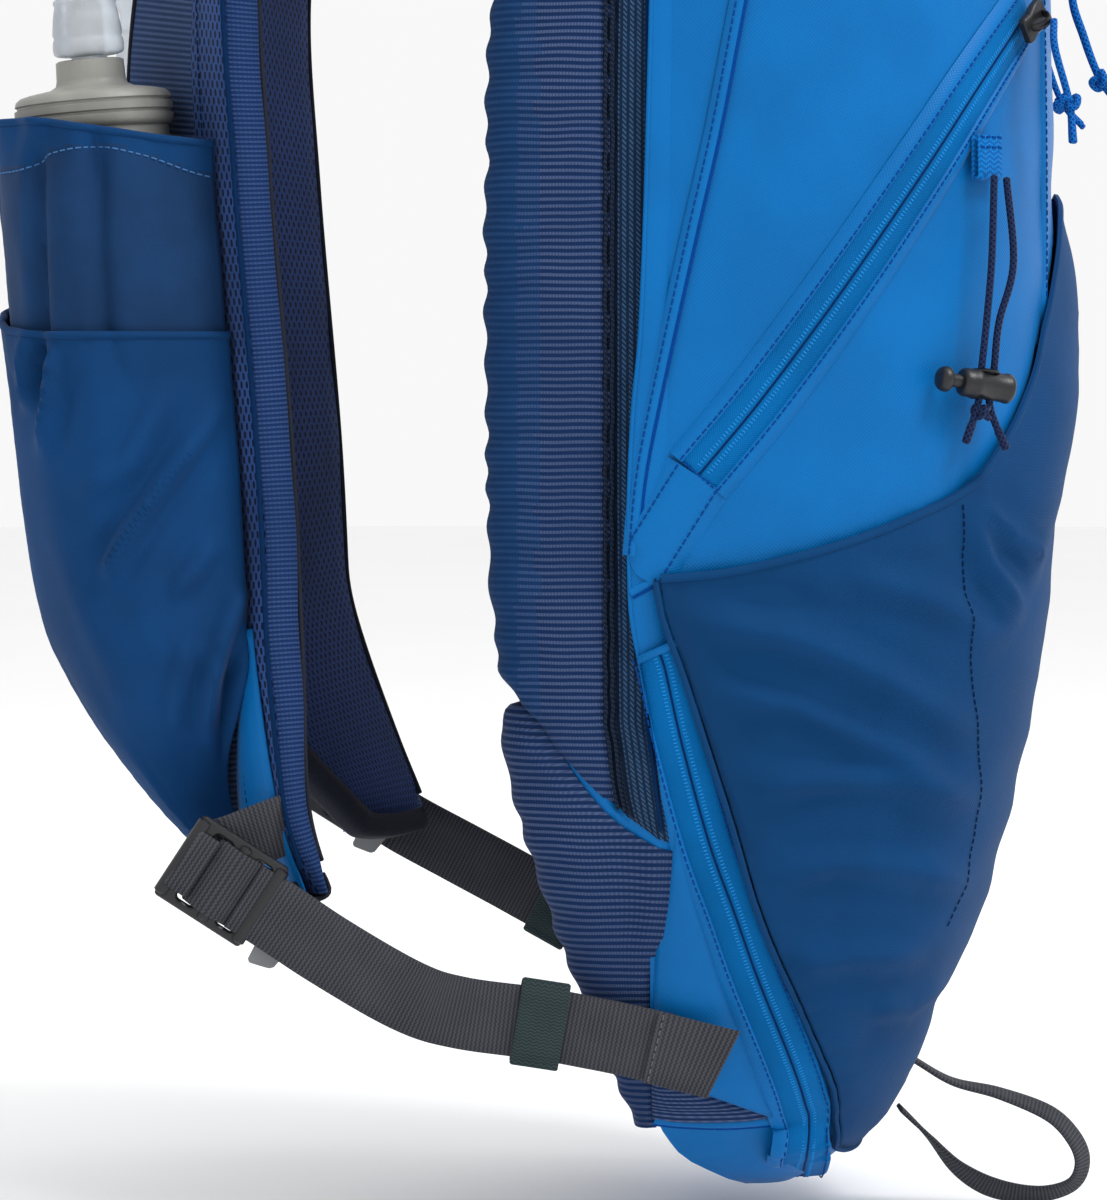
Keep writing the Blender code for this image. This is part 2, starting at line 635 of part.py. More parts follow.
# ---- Harness ------------------------------------------------------------------------------
# Strap stations from the lower tip to the shoulder seam: outer edge and inner edge
STRAP = (((0.110, -0.0900, 0.088), (0.080, -0.1110, 0.088)),
         ((0.1135, -0.0965, 0.112), (0.062, -0.1270, 0.112)),
         ((0.1135, -0.0995, 0.150), (0.048, -0.1370, 0.150)),
         ((0.1125, -0.1025, 0.210), (0.043, -0.1410, 0.210)),
         ((0.1105, -0.1090, 0.290), (0.041, -0.1470, 0.290)),
         ((0.1070, -0.1120, 0.350), (0.040, -0.1430, 0.350)),
         ((0.1020, -0.1040, 0.400), (0.039, -0.1270, 0.403)),
         ((0.0980, -0.0790, 0.432), (0.038, -0.0890, 0.437)),
         ((0.0920, -0.0440, 0.445), (0.037, -0.0460, 0.449)),
         ((0.0860, -0.0070, 0.438), (0.036, -0.0070, 0.440)))
FLARE = 0.018  # how far the right strap's tip swings back towards the pack
HINGE_Y, HINGE_Z = -0.002, 0.438


def strap_frames(side, count=22):
    """Edge points of the strap, evenly along it, with the outward normal at each."""
    outer = smooth_path([s[0] for s in STRAP], count)
    inner = smooth_path([s[1] for s in STRAP], count)
    for line in (outer, inner):
        for point in line:
            if side < 0:
                low = min(max((0.17 - point.z) / 0.08, 0.0), 1.0)
                point.y += FLARE * low * low * (3 - 2 * low)
            point.x *= side
    middle = [(a + b) / 2 for a, b in zip(outer, inner)]
    frames = []
    for a, b, along in zip(outer, inner, tangents(middle)):
        normal = (a - b).cross(along).normalized() * side
        frames.append((a, b, normal))
    return frames


def strap_pad(tag, side):
    rings = []
    for a, b, normal in strap_frames(side):
        lateral = (a - b).normalized()
        corners = ((b, 0.0, -0.36), (b, 0.0, 0.36), (b, 0.003, 0.5), (a, -0.003, 0.5),
                   (a, 0.0, 0.36), (a, 0.0, -0.36), (a, -0.003, -0.5), (b, 0.003, -0.5))
        rings.append([edge + lateral * inset + normal * STRAP_THICK * lift
                      for edge, inset, lift in corners])
    loft("strap_pad_" + tag, rings, PAD_NAVY, Vector((0, HINGE_Y, HINGE_Z)))


FLASK_TOP = Vector((0.0850, -0.1558, 0.302))
FLASK_LEAN = Vector((0.0, -0.083, 1.0)).normalized()
LATERAL = Vector((0.876, 0.482, 0.0))
OUTWARD = Vector((0.482, -0.876, 0.0))
# Sleeve: (height, half width, reach out from the strap)
SLEEVE = ((0.098, 0.010, 0.010), (0.108, 0.016, 0.016), (0.119, 0.022, 0.0225),
          (0.132, 0.0265, 0.0300), (0.146, 0.0295, 0.0365), (0.160, 0.0318, 0.0418),
          (0.180, 0.0320, 0.0460), (0.200, 0.0320, 0.0480), (0.240, 0.0320, 0.0495),
          (0.280, 0.0320, 0.0500), (0.300, 0.0318, 0.0500))
FLASK = ((0.152, 0.30), (0.158, 0.55), (0.168, 0.78), (0.182, 0.94), (0.200, 1.0),
         (0.255, 1.0), (0.272, 0.93), (0.280, 0.80))
FLASK_HALF_WIDE, FLASK_HALF_DEEP = 0.0262, 0.0190
# Cap and bite valve: (radius, distance along the flask's axis)
FLASK_CAP = ((0.0175, -0.0105), (0.0205, -0.0105), (0.0212, -0.002), (0.0220, 0.0005),
             (0.0220, 0.0062), (0.0205, 0.0080), (0.0100, 0.0100), (0.0095, 0.0175),
             (0.0060, 0.0175), (0.0060, 0.0030), (0.0175, 0.0030))
BITE_VALVE = ((0.0048, 0.0050), (0.0050, 0.0185), (0.0098, 0.0192), (0.0098, 0.0230),
              (0.0086, 0.0330), (0.0070, 0.0370), (0.0070, 0.0420), (0.0082, 0.0450),
              (0.0078, 0.0500), (0.0050, 0.0540))


def mirror(point, side):
    return Vector((point.x * side, point.y, point.z))


def sleeve(tag, side):
    """A stretch sleeve on the strap's face, open at the top for the flask."""
    wide = smooth_line([(z, w) for z, w, r in SLEEVE])
    reach = smooth_line([(z, r) for z, w, r in SLEEVE])
    frames = strap_frames(side, 60)
    grids = []
    for skin in (0.0, 0.0012):
        grid = []
        for i in range(15):
            z = SLEEVE[0][0] + (SLEEVE[-1][0] - SLEEVE[0][0]) * (i / 14) ** 1.15
            a, b, _ = min(frames, key=lambda f: abs((f[0].z + f[1].z) / 2 - z))
            lateral, normal = mirror(LATERAL, side), mirror(OUTWARD, side)
            base = a - (a - b).normalized() * min(0.0465, 0.55 * (a - b).length)
            base.z = z
            base += normal * (STRAP_THICK / 2 + (0.0015 if side > 0 else 0.0040))
            row = []
            for k in range(17):
                t = math.pi * k / 16
                x = (wide(z) - skin) * signed_power(math.cos(t), 2 / 2.8)
                y = (reach(z) - skin) * signed_power(math.sin(t), 2 / 2.8)
                row.append(base + lateral * x + normal * y)
            grid.append(row)
        grids.append(grid)
    sheet_solid("flask_sleeve_" + tag, grids[0], grids[1], STRETCH_BLUE)


def flask(tag, side):
    """A soft flask with a screw cap and a pull-up bite valve."""
    top, lean = mirror(FLASK_TOP, side), mirror(FLASK_LEAN, side)
    lateral, normal = mirror(LATERAL, side), mirror(OUTWARD, side)
    rings = []
    for z, size in FLASK:
        centre = top + lean * ((z - top.z) / lean.z)
        ring = []
        for k in range(24):
            a = 2 * math.pi * k / 24 * side
            ring.append(centre + lateral * FLASK_HALF_WIDE * size * math.cos(a)
                        + normal * FLASK_HALF_DEEP * size * math.sin(a))
        rings.append(ring)
    for along, radius in ((-0.017, 0.0165), (0.002, 0.0165)):
        ring = []
        for k in range(24):
            a = 2 * math.pi * k / 24 * side
            around = lateral * math.cos(a) + normal * math.sin(a)
            around = (around - lean * around.dot(lean)).normalized()
            ring.append(top + lean * along + around * radius)
        rings.append(ring)
    loft("flask_" + tag, rings, FLASK_CLEAR, top)
    turned_ring("flask_cap_" + tag, FLASK_CAP, top, lean, CAP_GREY, 32)
    turned("bite_valve_" + tag, BITE_VALVE, top, lean, FLASK_CLEAR, 20, top)


# Webbing line from its tail end on the pack to the ladder lock, for each side
WEB_LINE = {
    1: ((0.1045, 0.0140, 0.0418), (0.1045, -0.0030, 0.0458), (0.1045, -0.0170, 0.0487),
        (0.1050, -0.0310, 0.0513), (0.1070, -0.0530, 0.0545), (0.1110, -0.0670, 0.0595),
        (0.1175, -0.0880, 0.0725), (0.1190, -0.1035, 0.0830)),
    -1: ((0.1045, 0.0140, 0.0440), (0.1060, -0.0030, 0.0490), (0.1075, -0.0200, 0.0560),
         (0.1100, -0.0350, 0.0638), (0.1140, -0.0470, 0.0700), (0.1180, -0.0600, 0.0765),
         (0.1200, -0.0780, 0.0860), (0.1200, -0.0880, 0.0925)),
}
KEEPER_AT = {1: -0.0310, -1: -0.0290}
LADDER_AT = {1: (0.1200, -0.1180, 0.0925), -1: (0.1200, -0.1030, 0.1020)}


def web_axes(along, side):
    along = along.normalized()
    out = Vector((side, 0, 0))
    out = (out - along * out.dot(along)).normalized()
    return along, out.cross(along) * side, out


def side_webbing(tag, side):
    line = [Vector((side * x, y, z)) for x, y, z in WEB_LINE[side]]
    path = smooth_path(line, 20)
    across = [web_axes(along, side)[1] for along in tangents(path)]
    ribbon("side_webbing_" + tag, path, across, WEB_WIDTH, 2 * WEB_THICK, WEBBING)
    near = min(range(len(path)), key=lambda i: abs(path[i].y - KEEPER_AT[side]))
    axes = web_axes(tangents(path)[near], side)
    place = path[near]
    ring = block("keeper_" + tag, place, axes, (0.013, WEB_WIDTH + 0.0056, 0.0082), KEEPER_GREEN,
                 place, bevel=0.0010)
    slot = block("keeper_slot_" + tag, place, axes, (0.03, WEB_WIDTH + 0.0026, 0.0056),
                 KEEPER_GREEN, place)
    cut(ring, slot)


def ladder_lock(tag, side):
    """The three-bar buckle at the strap's tip, and the webbing tab that holds it."""
    place = Vector((side * LADDER_AT[side][0], LADDER_AT[side][1], LADDER_AT[side][2]))
    end = Vector((side * WEB_LINE[side][-1][0],) + WEB_LINE[side][-1][1:])
    axes = web_axes(place - end, side)
    pivot = place + axes[0] * 0.0125
    frame = block("ladder_lock_" + tag, place, axes, (0.028, 0.026, 0.0036), BLACK_PLASTIC, pivot,
                  bevel=0.0009)
    for k, shift in enumerate((-0.0075, 0.0055)):
        slot = block(f"ladder_slot_{tag}_{k}", place + axes[0] * shift, axes,
                     (0.0055, WEB_WIDTH + 0.001, 0.02), BLACK_PLASTIC, pivot)
        cut(frame, slot)
    a, b, normal = strap_frames(side)[1]
    clear = 0.0032 if side > 0 else 0.0052
    start = (a + b) / 2 + (a - b) * 0.38 + normal * (STRAP_THICK / 2 + clear)
    tip = pivot - axes[0] * 0.003 - axes[2] * 0.0042
    path = [start, start.lerp(tip, 0.5) + axes[2] * 0.0002, tip]
    ribbon("strap_tab_" + tag, path, [axes[1]] * 3, WEB_WIDTH - 0.002, WEB_THICK, WEBBING)


def sternum_strap():
    """Chest strap in two halves with a side-release buckle; the plug slides out to one side."""
    height = 0.372
    axes = (Vector((1, 0, 0)), Vector((0, 0, 1)), Vector((0, -1, 0)))
    for tag, side in (("L", 1), ("R", -1)):
        near = 0.0175 if side > 0 else 0.0030
        path = [Vector((side * x, y, height)) for x, y in
                ((near, -0.1520), (0.032, -0.1520), (0.045, -0.1518), (0.058, -0.1435))]
        ribbon("sternum_strap_" + tag, path, [axes[1]] * 4, 0.015, WEB_THICK, WEBBING)
    centre = Vector((0.004, -0.152, height))
    socket = block("sternum_socket", centre, axes, (0.024, 0.020, 0.0090), BLACK_PLASTIC,
                   centre, bevel=0.0015)
    mouth = block("sternum_mouth", centre - axes[0] * 0.004, axes, (0.0260, 0.0150, 0.0056),
                  BLACK_PLASTIC, centre)
    cut(socket, mouth)
    plug_at = Vector((-0.0175, -0.152, height))
    plug = block("sternum_plug", plug_at, axes, (0.012, 0.019, 0.0070), BLACK_PLASTIC, plug_at,
                 bevel=0.0012)
    tongue = block("sternum_tongue", plug_at + axes[0] * 0.013, axes, (0.017, 0.0135, 0.0044),
                   BLACK_PLASTIC, plug_at)
    combine(plug, tongue, "UNION")
    slot = block("sternum_plug_slot", plug_at + axes[0] * 0.005, axes, (0.06, 0.0158, 0.0024),
                 BLACK_PLASTIC, plug_at)
    cut(plug, slot)


# ---- The whole pack -----------------------------------------------------------------------
def daypack():
    bag()
    back_pads()
    front_pocket()
    main_zip()
    lower_zip()
    haul_loop()
    tool_loop()
    for tag, side in (("L", 1), ("R", -1)):
        side_wing(tag, side)
        side_zip(tag, side)
        main_slider(tag, side)
        bungee(tag, side)
        strap_pad(tag, side)
        sleeve(tag, side)
        flask(tag, side)
        side_webbing(tag, side)
        ladder_lock(tag, side)
    sternum_strap()


daypack()
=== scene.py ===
"""Looks of the trail daypack: fabric, mesh pads, zips, webbing, cords, flasks, light and camera.

Shapes are worked out in the design frame of the CAD model (Y = 0 at the back seam, Z = 0 at the
underside of the bag) and are then moved by -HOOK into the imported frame, where the haul loop is 0.
"""

import math

import bmesh
import bpy
from mathutils import Matrix, Vector, noise


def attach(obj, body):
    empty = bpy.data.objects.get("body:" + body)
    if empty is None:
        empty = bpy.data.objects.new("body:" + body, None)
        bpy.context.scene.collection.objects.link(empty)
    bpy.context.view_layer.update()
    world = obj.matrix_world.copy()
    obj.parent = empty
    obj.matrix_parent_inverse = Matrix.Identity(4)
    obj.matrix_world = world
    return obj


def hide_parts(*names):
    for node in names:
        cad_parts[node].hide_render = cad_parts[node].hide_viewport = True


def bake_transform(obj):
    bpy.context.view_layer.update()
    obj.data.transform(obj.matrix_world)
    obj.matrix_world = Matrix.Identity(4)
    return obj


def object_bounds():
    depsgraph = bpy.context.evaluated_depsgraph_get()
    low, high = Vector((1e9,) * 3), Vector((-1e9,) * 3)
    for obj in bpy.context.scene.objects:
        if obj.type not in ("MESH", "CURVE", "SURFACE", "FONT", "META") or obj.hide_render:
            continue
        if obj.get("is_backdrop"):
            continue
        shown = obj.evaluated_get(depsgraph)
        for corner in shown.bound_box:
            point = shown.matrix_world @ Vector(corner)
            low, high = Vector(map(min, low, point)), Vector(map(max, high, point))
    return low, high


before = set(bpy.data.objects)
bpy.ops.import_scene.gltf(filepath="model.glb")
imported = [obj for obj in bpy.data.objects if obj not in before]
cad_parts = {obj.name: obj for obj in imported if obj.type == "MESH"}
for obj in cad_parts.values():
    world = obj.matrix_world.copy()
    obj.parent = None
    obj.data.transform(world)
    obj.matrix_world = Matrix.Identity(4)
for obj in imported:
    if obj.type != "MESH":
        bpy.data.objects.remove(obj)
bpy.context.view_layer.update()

HOOK = Vector((0.0, -0.006, 0.478))
ROUNDNESS = 2.6
SIDES = (("L", 1, "left"), ("R", -1, "right"))

# The bag's profile, as in the CAD model: (height, front face), (height, back), (height, half width)
FRONT = ((-0.004, 0.044), (0.0, 0.051), (0.010, 0.064), (0.025, 0.0745), (0.05, 0.0845),
         (0.08, 0.0975), (0.105, 0.1045), (0.15, 0.113), (0.20, 0.117), (0.26, 0.118),
         (0.34, 0.117), (0.38, 0.111), (0.41, 0.100), (0.435, 0.082), (0.450, 0.062),
         (0.458, 0.044))
BACK = ((-0.004, 0.028), (0.0, 0.022), (0.010, 0.008), (0.025, 0.001), (0.05, 0.0),
        (0.38, 0.0), (0.42, 0.002), (0.44, 0.008), (0.45, 0.015), (0.458, 0.024))
HALF = ((-0.004, 0.040), (0.0, 0.055), (0.010, 0.071), (0.03, 0.088), (0.06, 0.101),
        (0.10, 0.112), (0.15, 0.119), (0.20, 0.122), (0.30, 0.120), (0.36, 0.116),
        (0.40, 0.110), (0.43, 0.097), (0.45, 0.076), (0.458, 0.056))
LID_HINGE = Vector((0.0, 0.1185, 0.3455))
LID_TOP = Vector((0.0, 0.030, 0.463))
LID_GAP = 0.0010
LID_RISE, LID_RUN = LID_TOP.z - LID_HINGE.z, LID_HINGE.y - LID_TOP.y


# ---- Curves and surfaces ------------------------------------------------------------------
def smooth_line(knots):
    """Monotone cubic through (position, value) pairs."""
    at = [knot[0] for knot in knots]
    value = [knot[1] for knot in knots]
    step = [b - a for a, b in zip(at, at[1:])]
    slope = [(b - a) / h for a, b, h in zip(value, value[1:], step)]
    tangent = [slope[0]]
    for before, after in zip(slope, slope[1:]):
        flat = before * after <= 0
        tangent.append(0.0 if flat else 2 * before * after / (before + after))
    tangent.append(slope[-1])

    def read(x):
        x = min(max(x, at[0]), at[-1])
        i = 0
        while i < len(step) - 1 and at[i + 1] <= x:
            i += 1
        t, h = (x - at[i]) / step[i], step[i]
        return (
            (1 + 2 * t) * (1 - t) ** 2 * value[i]
            + t * (1 - t) ** 2 * h * tangent[i]
            + t * t * (3 - 2 * t) * value[i + 1]
            + t * t * (t - 1) * h * tangent[i + 1]
        )

    return read


def smooth_path(points, count):
    """Evenly spaced points on a Catmull-Rom curve through the given ones."""
    points = [Vector(p) for p in points]
    ends = [2 * points[0] - points[1]] + points + [2 * points[-1] - points[-2]]
    dense = []
    for a, b, c, d in zip(ends, ends[1:], ends[2:], ends[3:]):
        for k in range(24):
            t = k / 24
            dense.append(
                0.5 * (2 * b + (c - a) * t + (2 * a - 5 * b + 4 * c - d) * t * t
                       + (3 * b - a - 3 * c + d) * t ** 3)
            )
    dense.append(points[-1])
    run = lengths(dense)
    out, k = [], 0
    for i in range(count):
        want = run[-1] * i / (count - 1)
        while k < len(run) - 2 and run[k + 1] < want:
            k += 1
        part = (want - run[k]) / max(run[k + 1] - run[k], 1e-12)
        out.append(dense[k].lerp(dense[k + 1], min(max(part, 0.0), 1.0)))
    return out


def lengths(points):
    run = [0.0]
    for a, b in zip(points, points[1:]):
        run.append(run[-1] + (b - a).length)
    return run


def tangents(path):
    ends = [path[0]] + list(path) + [path[-1]]
    return [(after - before).normalized() for before, after in zip(ends, ends[2:])]


def signed_power(value, power):
    return math.copysign(abs(value) ** power, value)


def spoke(k, count):
    """Cosine and sine of step k out of the count that make a full turn."""
    angle = 2 * math.pi * k / count
    return math.cos(angle), math.sin(angle)


def ease(value, low, high):
    """0 below low, 1 above high, smooth between."""
    t = min(max((value - low) / (high - low), 0.0), 1.0)
    return t * t * (3 - 2 * t)


def hump(value, centre, width):
    return math.exp(-(((value - centre) / width) ** 2))


def wander(x, y=0.0, z=0.0):
    """Smooth noise from about -1 to 1, the same on each run."""
    return noise.noise(Vector((x, y, z)))


front_of, back_of, half_of = smooth_line(FRONT), smooth_line(BACK), smooth_line(HALF)


def hull_point(t, z, out=0.0, side=1):
    """Point and normal of the bag at section angle t: 0 at the back corner, pi/2 in front."""
    def surface(angle, height):
        y0, depth = back_of(height), front_of(height) - back_of(height)
        x = half_of(height) * signed_power(math.cos(angle), 2 / ROUNDNESS)
        return Vector((x, y0 + depth * signed_power(math.sin(angle), 2 / ROUNDNESS), height))

    point = surface(min(max(t, 0.0), math.pi), z)
    t = min(max(t, 0.02), math.pi - 0.02)
    around = surface(t + 0.01, z) - surface(t - 0.01, z)
    upward = surface(t, min(z + 0.002, 0.4579)) - surface(t, max(z - 0.002, -0.0039))
    normal = around.cross(upward).normalized()
    point += normal * out
    point.x *= side
    normal.x *= side
    return point, normal


def hull_at(y, z, out=0.0, side=1):
    """Point and outward normal of the bag's side, flat where it laps over the back pads."""
    depth = front_of(z) - back_of(z)
    if y < back_of(z):
        return Vector((side * (half_of(z) + out), y, z)), Vector((side, 0.0, 0.0))
    share = min(max((y - back_of(z)) / depth, 0.0), 1.0)
    return hull_point(math.asin(share ** (ROUNDNESS / 2)), z, out, side)


def line_gap(y, z, line):
    """Distance in (depth, height) from a point to a line of such points, and the share along it."""
    best, share = 1.0, 0.0
    for i, ((a, b), (c, d)) in enumerate(zip(line, line[1:])):
        dy, dz = c - a, d - b
        t = min(max(((y - a) * dy + (z - b) * dz) / (dy * dy + dz * dz), 0.0), 1.0)
        gap = math.hypot(y - a - dy * t, z - b - dz * t)
        if gap < best:
            best, share = gap, (i + t) / (len(line) - 1)
    return best, share


# ---- Materials ----------------------------------------------------------------------------
class Surface:
    """One procedural material, built node by node."""

    def __init__(self, name, roughness, sockets=None, gloss=0.10):
        self.material = bpy.data.materials.new(name)
        self.material.use_nodes = True
        self.tree = self.material.node_tree
        self.shader = self.tree.nodes["Principled BSDF"]
        self.shader.inputs["Roughness"].default_value = roughness
        self.shader.inputs["Specular IOR Level"].default_value = gloss
        for socket, value in (sockets or {}).items():
            self.shader.inputs[socket].default_value = value

    def feed(self, socket, value):
        if isinstance(value, bpy.types.NodeSocket):
            self.tree.links.new(value, socket)
        else:
            socket.default_value = value

    def math(self, operation, first, second=0.0, third=0.0):
        node = self.tree.nodes.new("ShaderNodeMath")
        node.operation = operation
        for socket, value in zip(node.inputs, (first, second, third)):
            self.feed(socket, value)
        return node.outputs[0]

    def cloth(self):
        """Across and along the cloth, in metres."""
        node = self.tree.nodes.new("ShaderNodeUVMap")
        node.uv_map = "cloth"
        split = self.tree.nodes.new("ShaderNodeSeparateXYZ")
        self.feed(split.inputs[0], node.outputs[0])
        return split.outputs[0], split.outputs[1]

    def wave(self, coordinate, pitch, shift=0.0):
        """A sine from 0 to 1 along a coordinate."""
        turn = self.math("MULTIPLY_ADD", coordinate, 2 * math.pi / pitch, shift)
        return self.math("MULTIPLY_ADD", self.math("SINE", turn), 0.5, 0.5)

    def above(self, value, low, high):
        """0 below low, 1 above high."""
        node = self.tree.nodes.new("ShaderNodeMapRange")
        node.interpolation_type = "SMOOTHSTEP"
        self.feed(node.inputs["Value"], value)
        node.inputs["From Min"].default_value = low
        node.inputs["From Max"].default_value = high
        return node.outputs["Result"]

    def cloud(self, scale, detail=3.0):
        """Noise from 0 to 1 in the object's own space, in cycles per metre."""
        place = self.tree.nodes.new("ShaderNodeTexCoord")
        node = self.tree.nodes.new("ShaderNodeTexNoise")
        self.feed(node.inputs["Vector"], place.outputs["Object"])
        node.inputs["Scale"].default_value = scale
        node.inputs["Detail"].default_value = detail
        return node.outputs[0]

    def blend(self, factor, first, second):
        node = self.tree.nodes.new("ShaderNodeMix")
        node.data_type = "RGBA"
        self.feed(node.inputs[0], factor)
        for socket, value in ((node.inputs[6], first), (node.inputs[7], second)):
            self.feed(socket, (*value, 1.0) if isinstance(value, tuple) else value)
        return node.outputs[2]

    def colour(self, value):
        self.feed(self.shader.inputs["Base Color"], value)

    def rough(self, value, low, high):
        self.feed(self.shader.inputs["Roughness"], self.math("MULTIPLY_ADD", value, high - low, low))

    def relief(self, height, distance):
        node = self.tree.nodes.new("ShaderNodeBump")
        node.inputs["Strength"].default_value = 1.0
        node.inputs["Distance"].default_value = distance
        self.feed(node.inputs["Height"], height)
        self.feed(self.shader.inputs["Normal"], node.outputs[0])

    def finish(self, colour, height, depth):
        """Sets colour and relief, and gives the material."""
        self.colour(colour)
        self.relief(height, depth)
        return self.material


def shade(colour, factor):
    return tuple(channel * factor for channel in colour)


def weave(surface, across, along, pitch):
    """Height of a plain weave: threads that pass over each other by turns."""
    a, b = surface.wave(across, pitch), surface.wave(along, pitch)
    return surface.math("ADD", surface.math("MULTIPLY", a, b),
                        surface.math("MULTIPLY", surface.math("SUBTRACT", 1.0, a),
                                     surface.math("SUBTRACT", 1.0, b)))


def woven(name, colour, roughness, pitch, depth, contrast=0.25, mottle=0.12, sheen=0.03,
          gloss=0.10):
    """Plain woven cloth: faint threads with painted shade in their hollows, and a soft, uneven dye."""
    s = Surface(name, roughness, {"Sheen Weight": sheen, "Sheen Roughness": 0.4}, gloss)
    across, along = s.cloth()
    threads = weave(s, across, along, pitch)
    dye = s.cloud(28.0)
    base = s.blend(s.above(dye, 0.3, 0.7), shade(colour, 1 - mottle), shade(colour, 1 + mottle))
    # Painted shade: the weave's low spots blend toward a darker copy of the colour.
    s.colour(s.blend(s.math("MULTIPLY", s.math("SUBTRACT", 1.0, threads), contrast), base,
                     shade(colour, 0.45)))
    s.rough(threads, roughness + 0.08, roughness - 0.06)
    s.relief(threads, depth)
    return s.material


def ribbed(name, dark, light, rib, thread, depth):
    """Air mesh of close cross ribs over fine columns of thread, the rib tops painted light as
    highlight.
    """
    s = Surface(name, 0.75, {"Sheen Weight": 0.02, "Sheen Roughness": 0.45}, 0.06)
    across, along = s.cloth()
    ribs = s.above(s.wave(along, rib), 0.25, 0.8)
    columns = s.wave(across, thread)
    lift = s.math("MULTIPLY", ribs, s.math("MULTIPLY_ADD", columns, 0.45, 0.55))
    # Painted highlight: raised ribs blend to the light colour, while the hollows between them stay
    # dark as painted shade.
    fade = s.math("MULTIPLY", lift, s.math("MULTIPLY_ADD", s.cloud(22.0), 0.6, 0.35))
    return s.finish(s.blend(fade, dark, light), lift, depth)


def holed(name, dark, light, wide, tall, low, high, depth):
    """Spacer mesh: staggered oval holes between rounded threads, the holes painted dark for the shaded
    layer seen through them.
    """
    s = Surface(name, 0.8, {"Sheen Weight": 0.04, "Sheen Roughness": 0.5})
    across, along = s.cloth()
    a = s.math("SINE", s.math("MULTIPLY", across, 2 * math.pi / wide))
    b = s.math("SINE", s.math("MULTIPLY", along, 2 * math.pi / tall))
    threads = s.above(s.math("MULTIPLY", a, b), high, low)
    tint = s.blend(s.above(s.cloud(30.0), 0.3, 0.7), shade(light, 0.8), shade(light, 1.15))
    # Painted shade: the holes take the dark colour, and the threads between them the light one.
    return s.finish(s.blend(threads, dark, tint), threads, depth)


def banded(name, dark, light, rib, chevron, depth):
    """Strap webbing: cross ribs broken into slanted yarns, the raised yarns painted lighter as
    highlight.
    """
    s = Surface(name, 0.8, {"Sheen Weight": 0.06, "Sheen Roughness": 0.4})
    across, along = s.cloth()
    zigzag = s.math("PINGPONG", across, chevron)
    yarn = s.wave(s.math("ADD", along, s.math("MULTIPLY", zigzag, 0.55)), rib)
    cross = s.wave(across, chevron * 0.5)
    lift = s.math("MULTIPLY", yarn, s.math("MULTIPLY_ADD", cross, 0.4, 0.6))
    worn = s.math("MULTIPLY_ADD", s.cloud(60.0), 0.35, 0.0)
    # Painted highlight on the raised yarns, plus random worn flecks; the hollows stay dark as painted
    # shade.
    shown = s.math("ADD", s.math("MULTIPLY", lift, 0.7), worn)
    return s.finish(s.blend(shown, dark, light), lift, depth)


def knitted(name, dark, light, column, row, depth):
    """Knit binding: columns of small V stitches, the loops painted lighter as highlight and the gaps
    darker as shade.
    """
    s = Surface(name, 0.85, {"Sheen Weight": 0.05, "Sheen Roughness": 0.5})
    across, along = s.cloth()
    slant = s.math("PINGPONG", across, column / 2)
    loops = s.wave(s.math("ADD", along, slant), row)
    gaps = s.above(s.wave(across, column), 0.1, 0.6)
    lift = s.math("MULTIPLY", loops, gaps)
    # Painted highlight and shade: colour follows the height of the loops.
    return s.finish(s.blend(lift, dark, light), lift, depth)


def braided(name, dark, light):
    """Round cord with a fine diagonal braid, the strands' crests painted lighter as highlight."""
    s = Surface(name, 0.6, {"Sheen Weight": 0.06, "Sheen Roughness": 0.4})
    across, along = s.cloth()
    one = s.wave(s.math("ADD", along, across), 0.0016)
    two = s.wave(s.math("SUBTRACT", along, across), 0.0016)
    lift = s.math("MAXIMUM", one, two)
    # Painted highlight on the braid's crests, and painted shade in its grooves.
    return s.finish(s.blend(s.above(lift, 0.4, 0.95), dark, light), lift, 0.0002)


def moulded(name, colour, roughness, grain=900.0, sockets=None):
    """Injection-moulded plastic: fine grain, rougher on its high spots, and slight colour drift."""
    s = Surface(name, roughness, sockets, gloss=0.4)
    fine, broad = s.cloud(grain, 2.0), s.cloud(45.0)
    s.colour(s.blend(s.above(broad, 0.3, 0.75), shade(colour, 0.82), shade(colour, 1.2)))
    s.rough(fine, roughness - 0.07, roughness + 0.12)
    s.relief(fine, 0.00008)
    return s.material


def plain_thread(name, colour):
    """Sewing thread, a little lighter where it twists."""
    s = Surface(name, 0.7, {"Sheen Weight": 0.02}, 0.04)
    s.colour(s.blend(s.cloud(1500.0, 1.0), shade(colour, 0.7), shade(colour, 1.3)))
    return s.material


AZURE = (0.0003, 0.116, 0.358)
SHELL = woven("shell_cloth", AZURE, 0.44, 0.0011, 0.00006, contrast=0.10, mottle=0.07, sheen=0.015,
              gloss=0.11)
SHELL_TAPE = woven("zip_tape_cloth", (0.0004, 0.108, 0.328), 0.62, 0.0008, 0.00012, contrast=0.25,
                   sheen=0.01, gloss=0.05)
STRETCH = woven("stretch_cloth", (0.0018, 0.041, 0.135), 0.82, 0.0009, 0.00006, contrast=0.16,
                mottle=0.06)
SLEEVE_CLOTH = woven("sleeve_cloth", (0.0011, 0.036, 0.126), 0.82, 0.0009, 0.00006,
                     contrast=0.14, mottle=0.14, gloss=0.14)
SLEEVE_THIN = woven("sleeve_thin_cloth", (0.0032, 0.031, 0.102), 0.75, 0.0009, 0.00006,
                    contrast=0.20, mottle=0.22, gloss=0.16)
LINING = woven("lining_cloth", (0.10, 0.12, 0.15), 0.7, 0.0012, 0.00010)
RIB_MESH = ribbed("rib_mesh", (0.0050, 0.020, 0.074), (0.090, 0.130, 0.260), 0.0019, 0.0010,
                  0.00040)
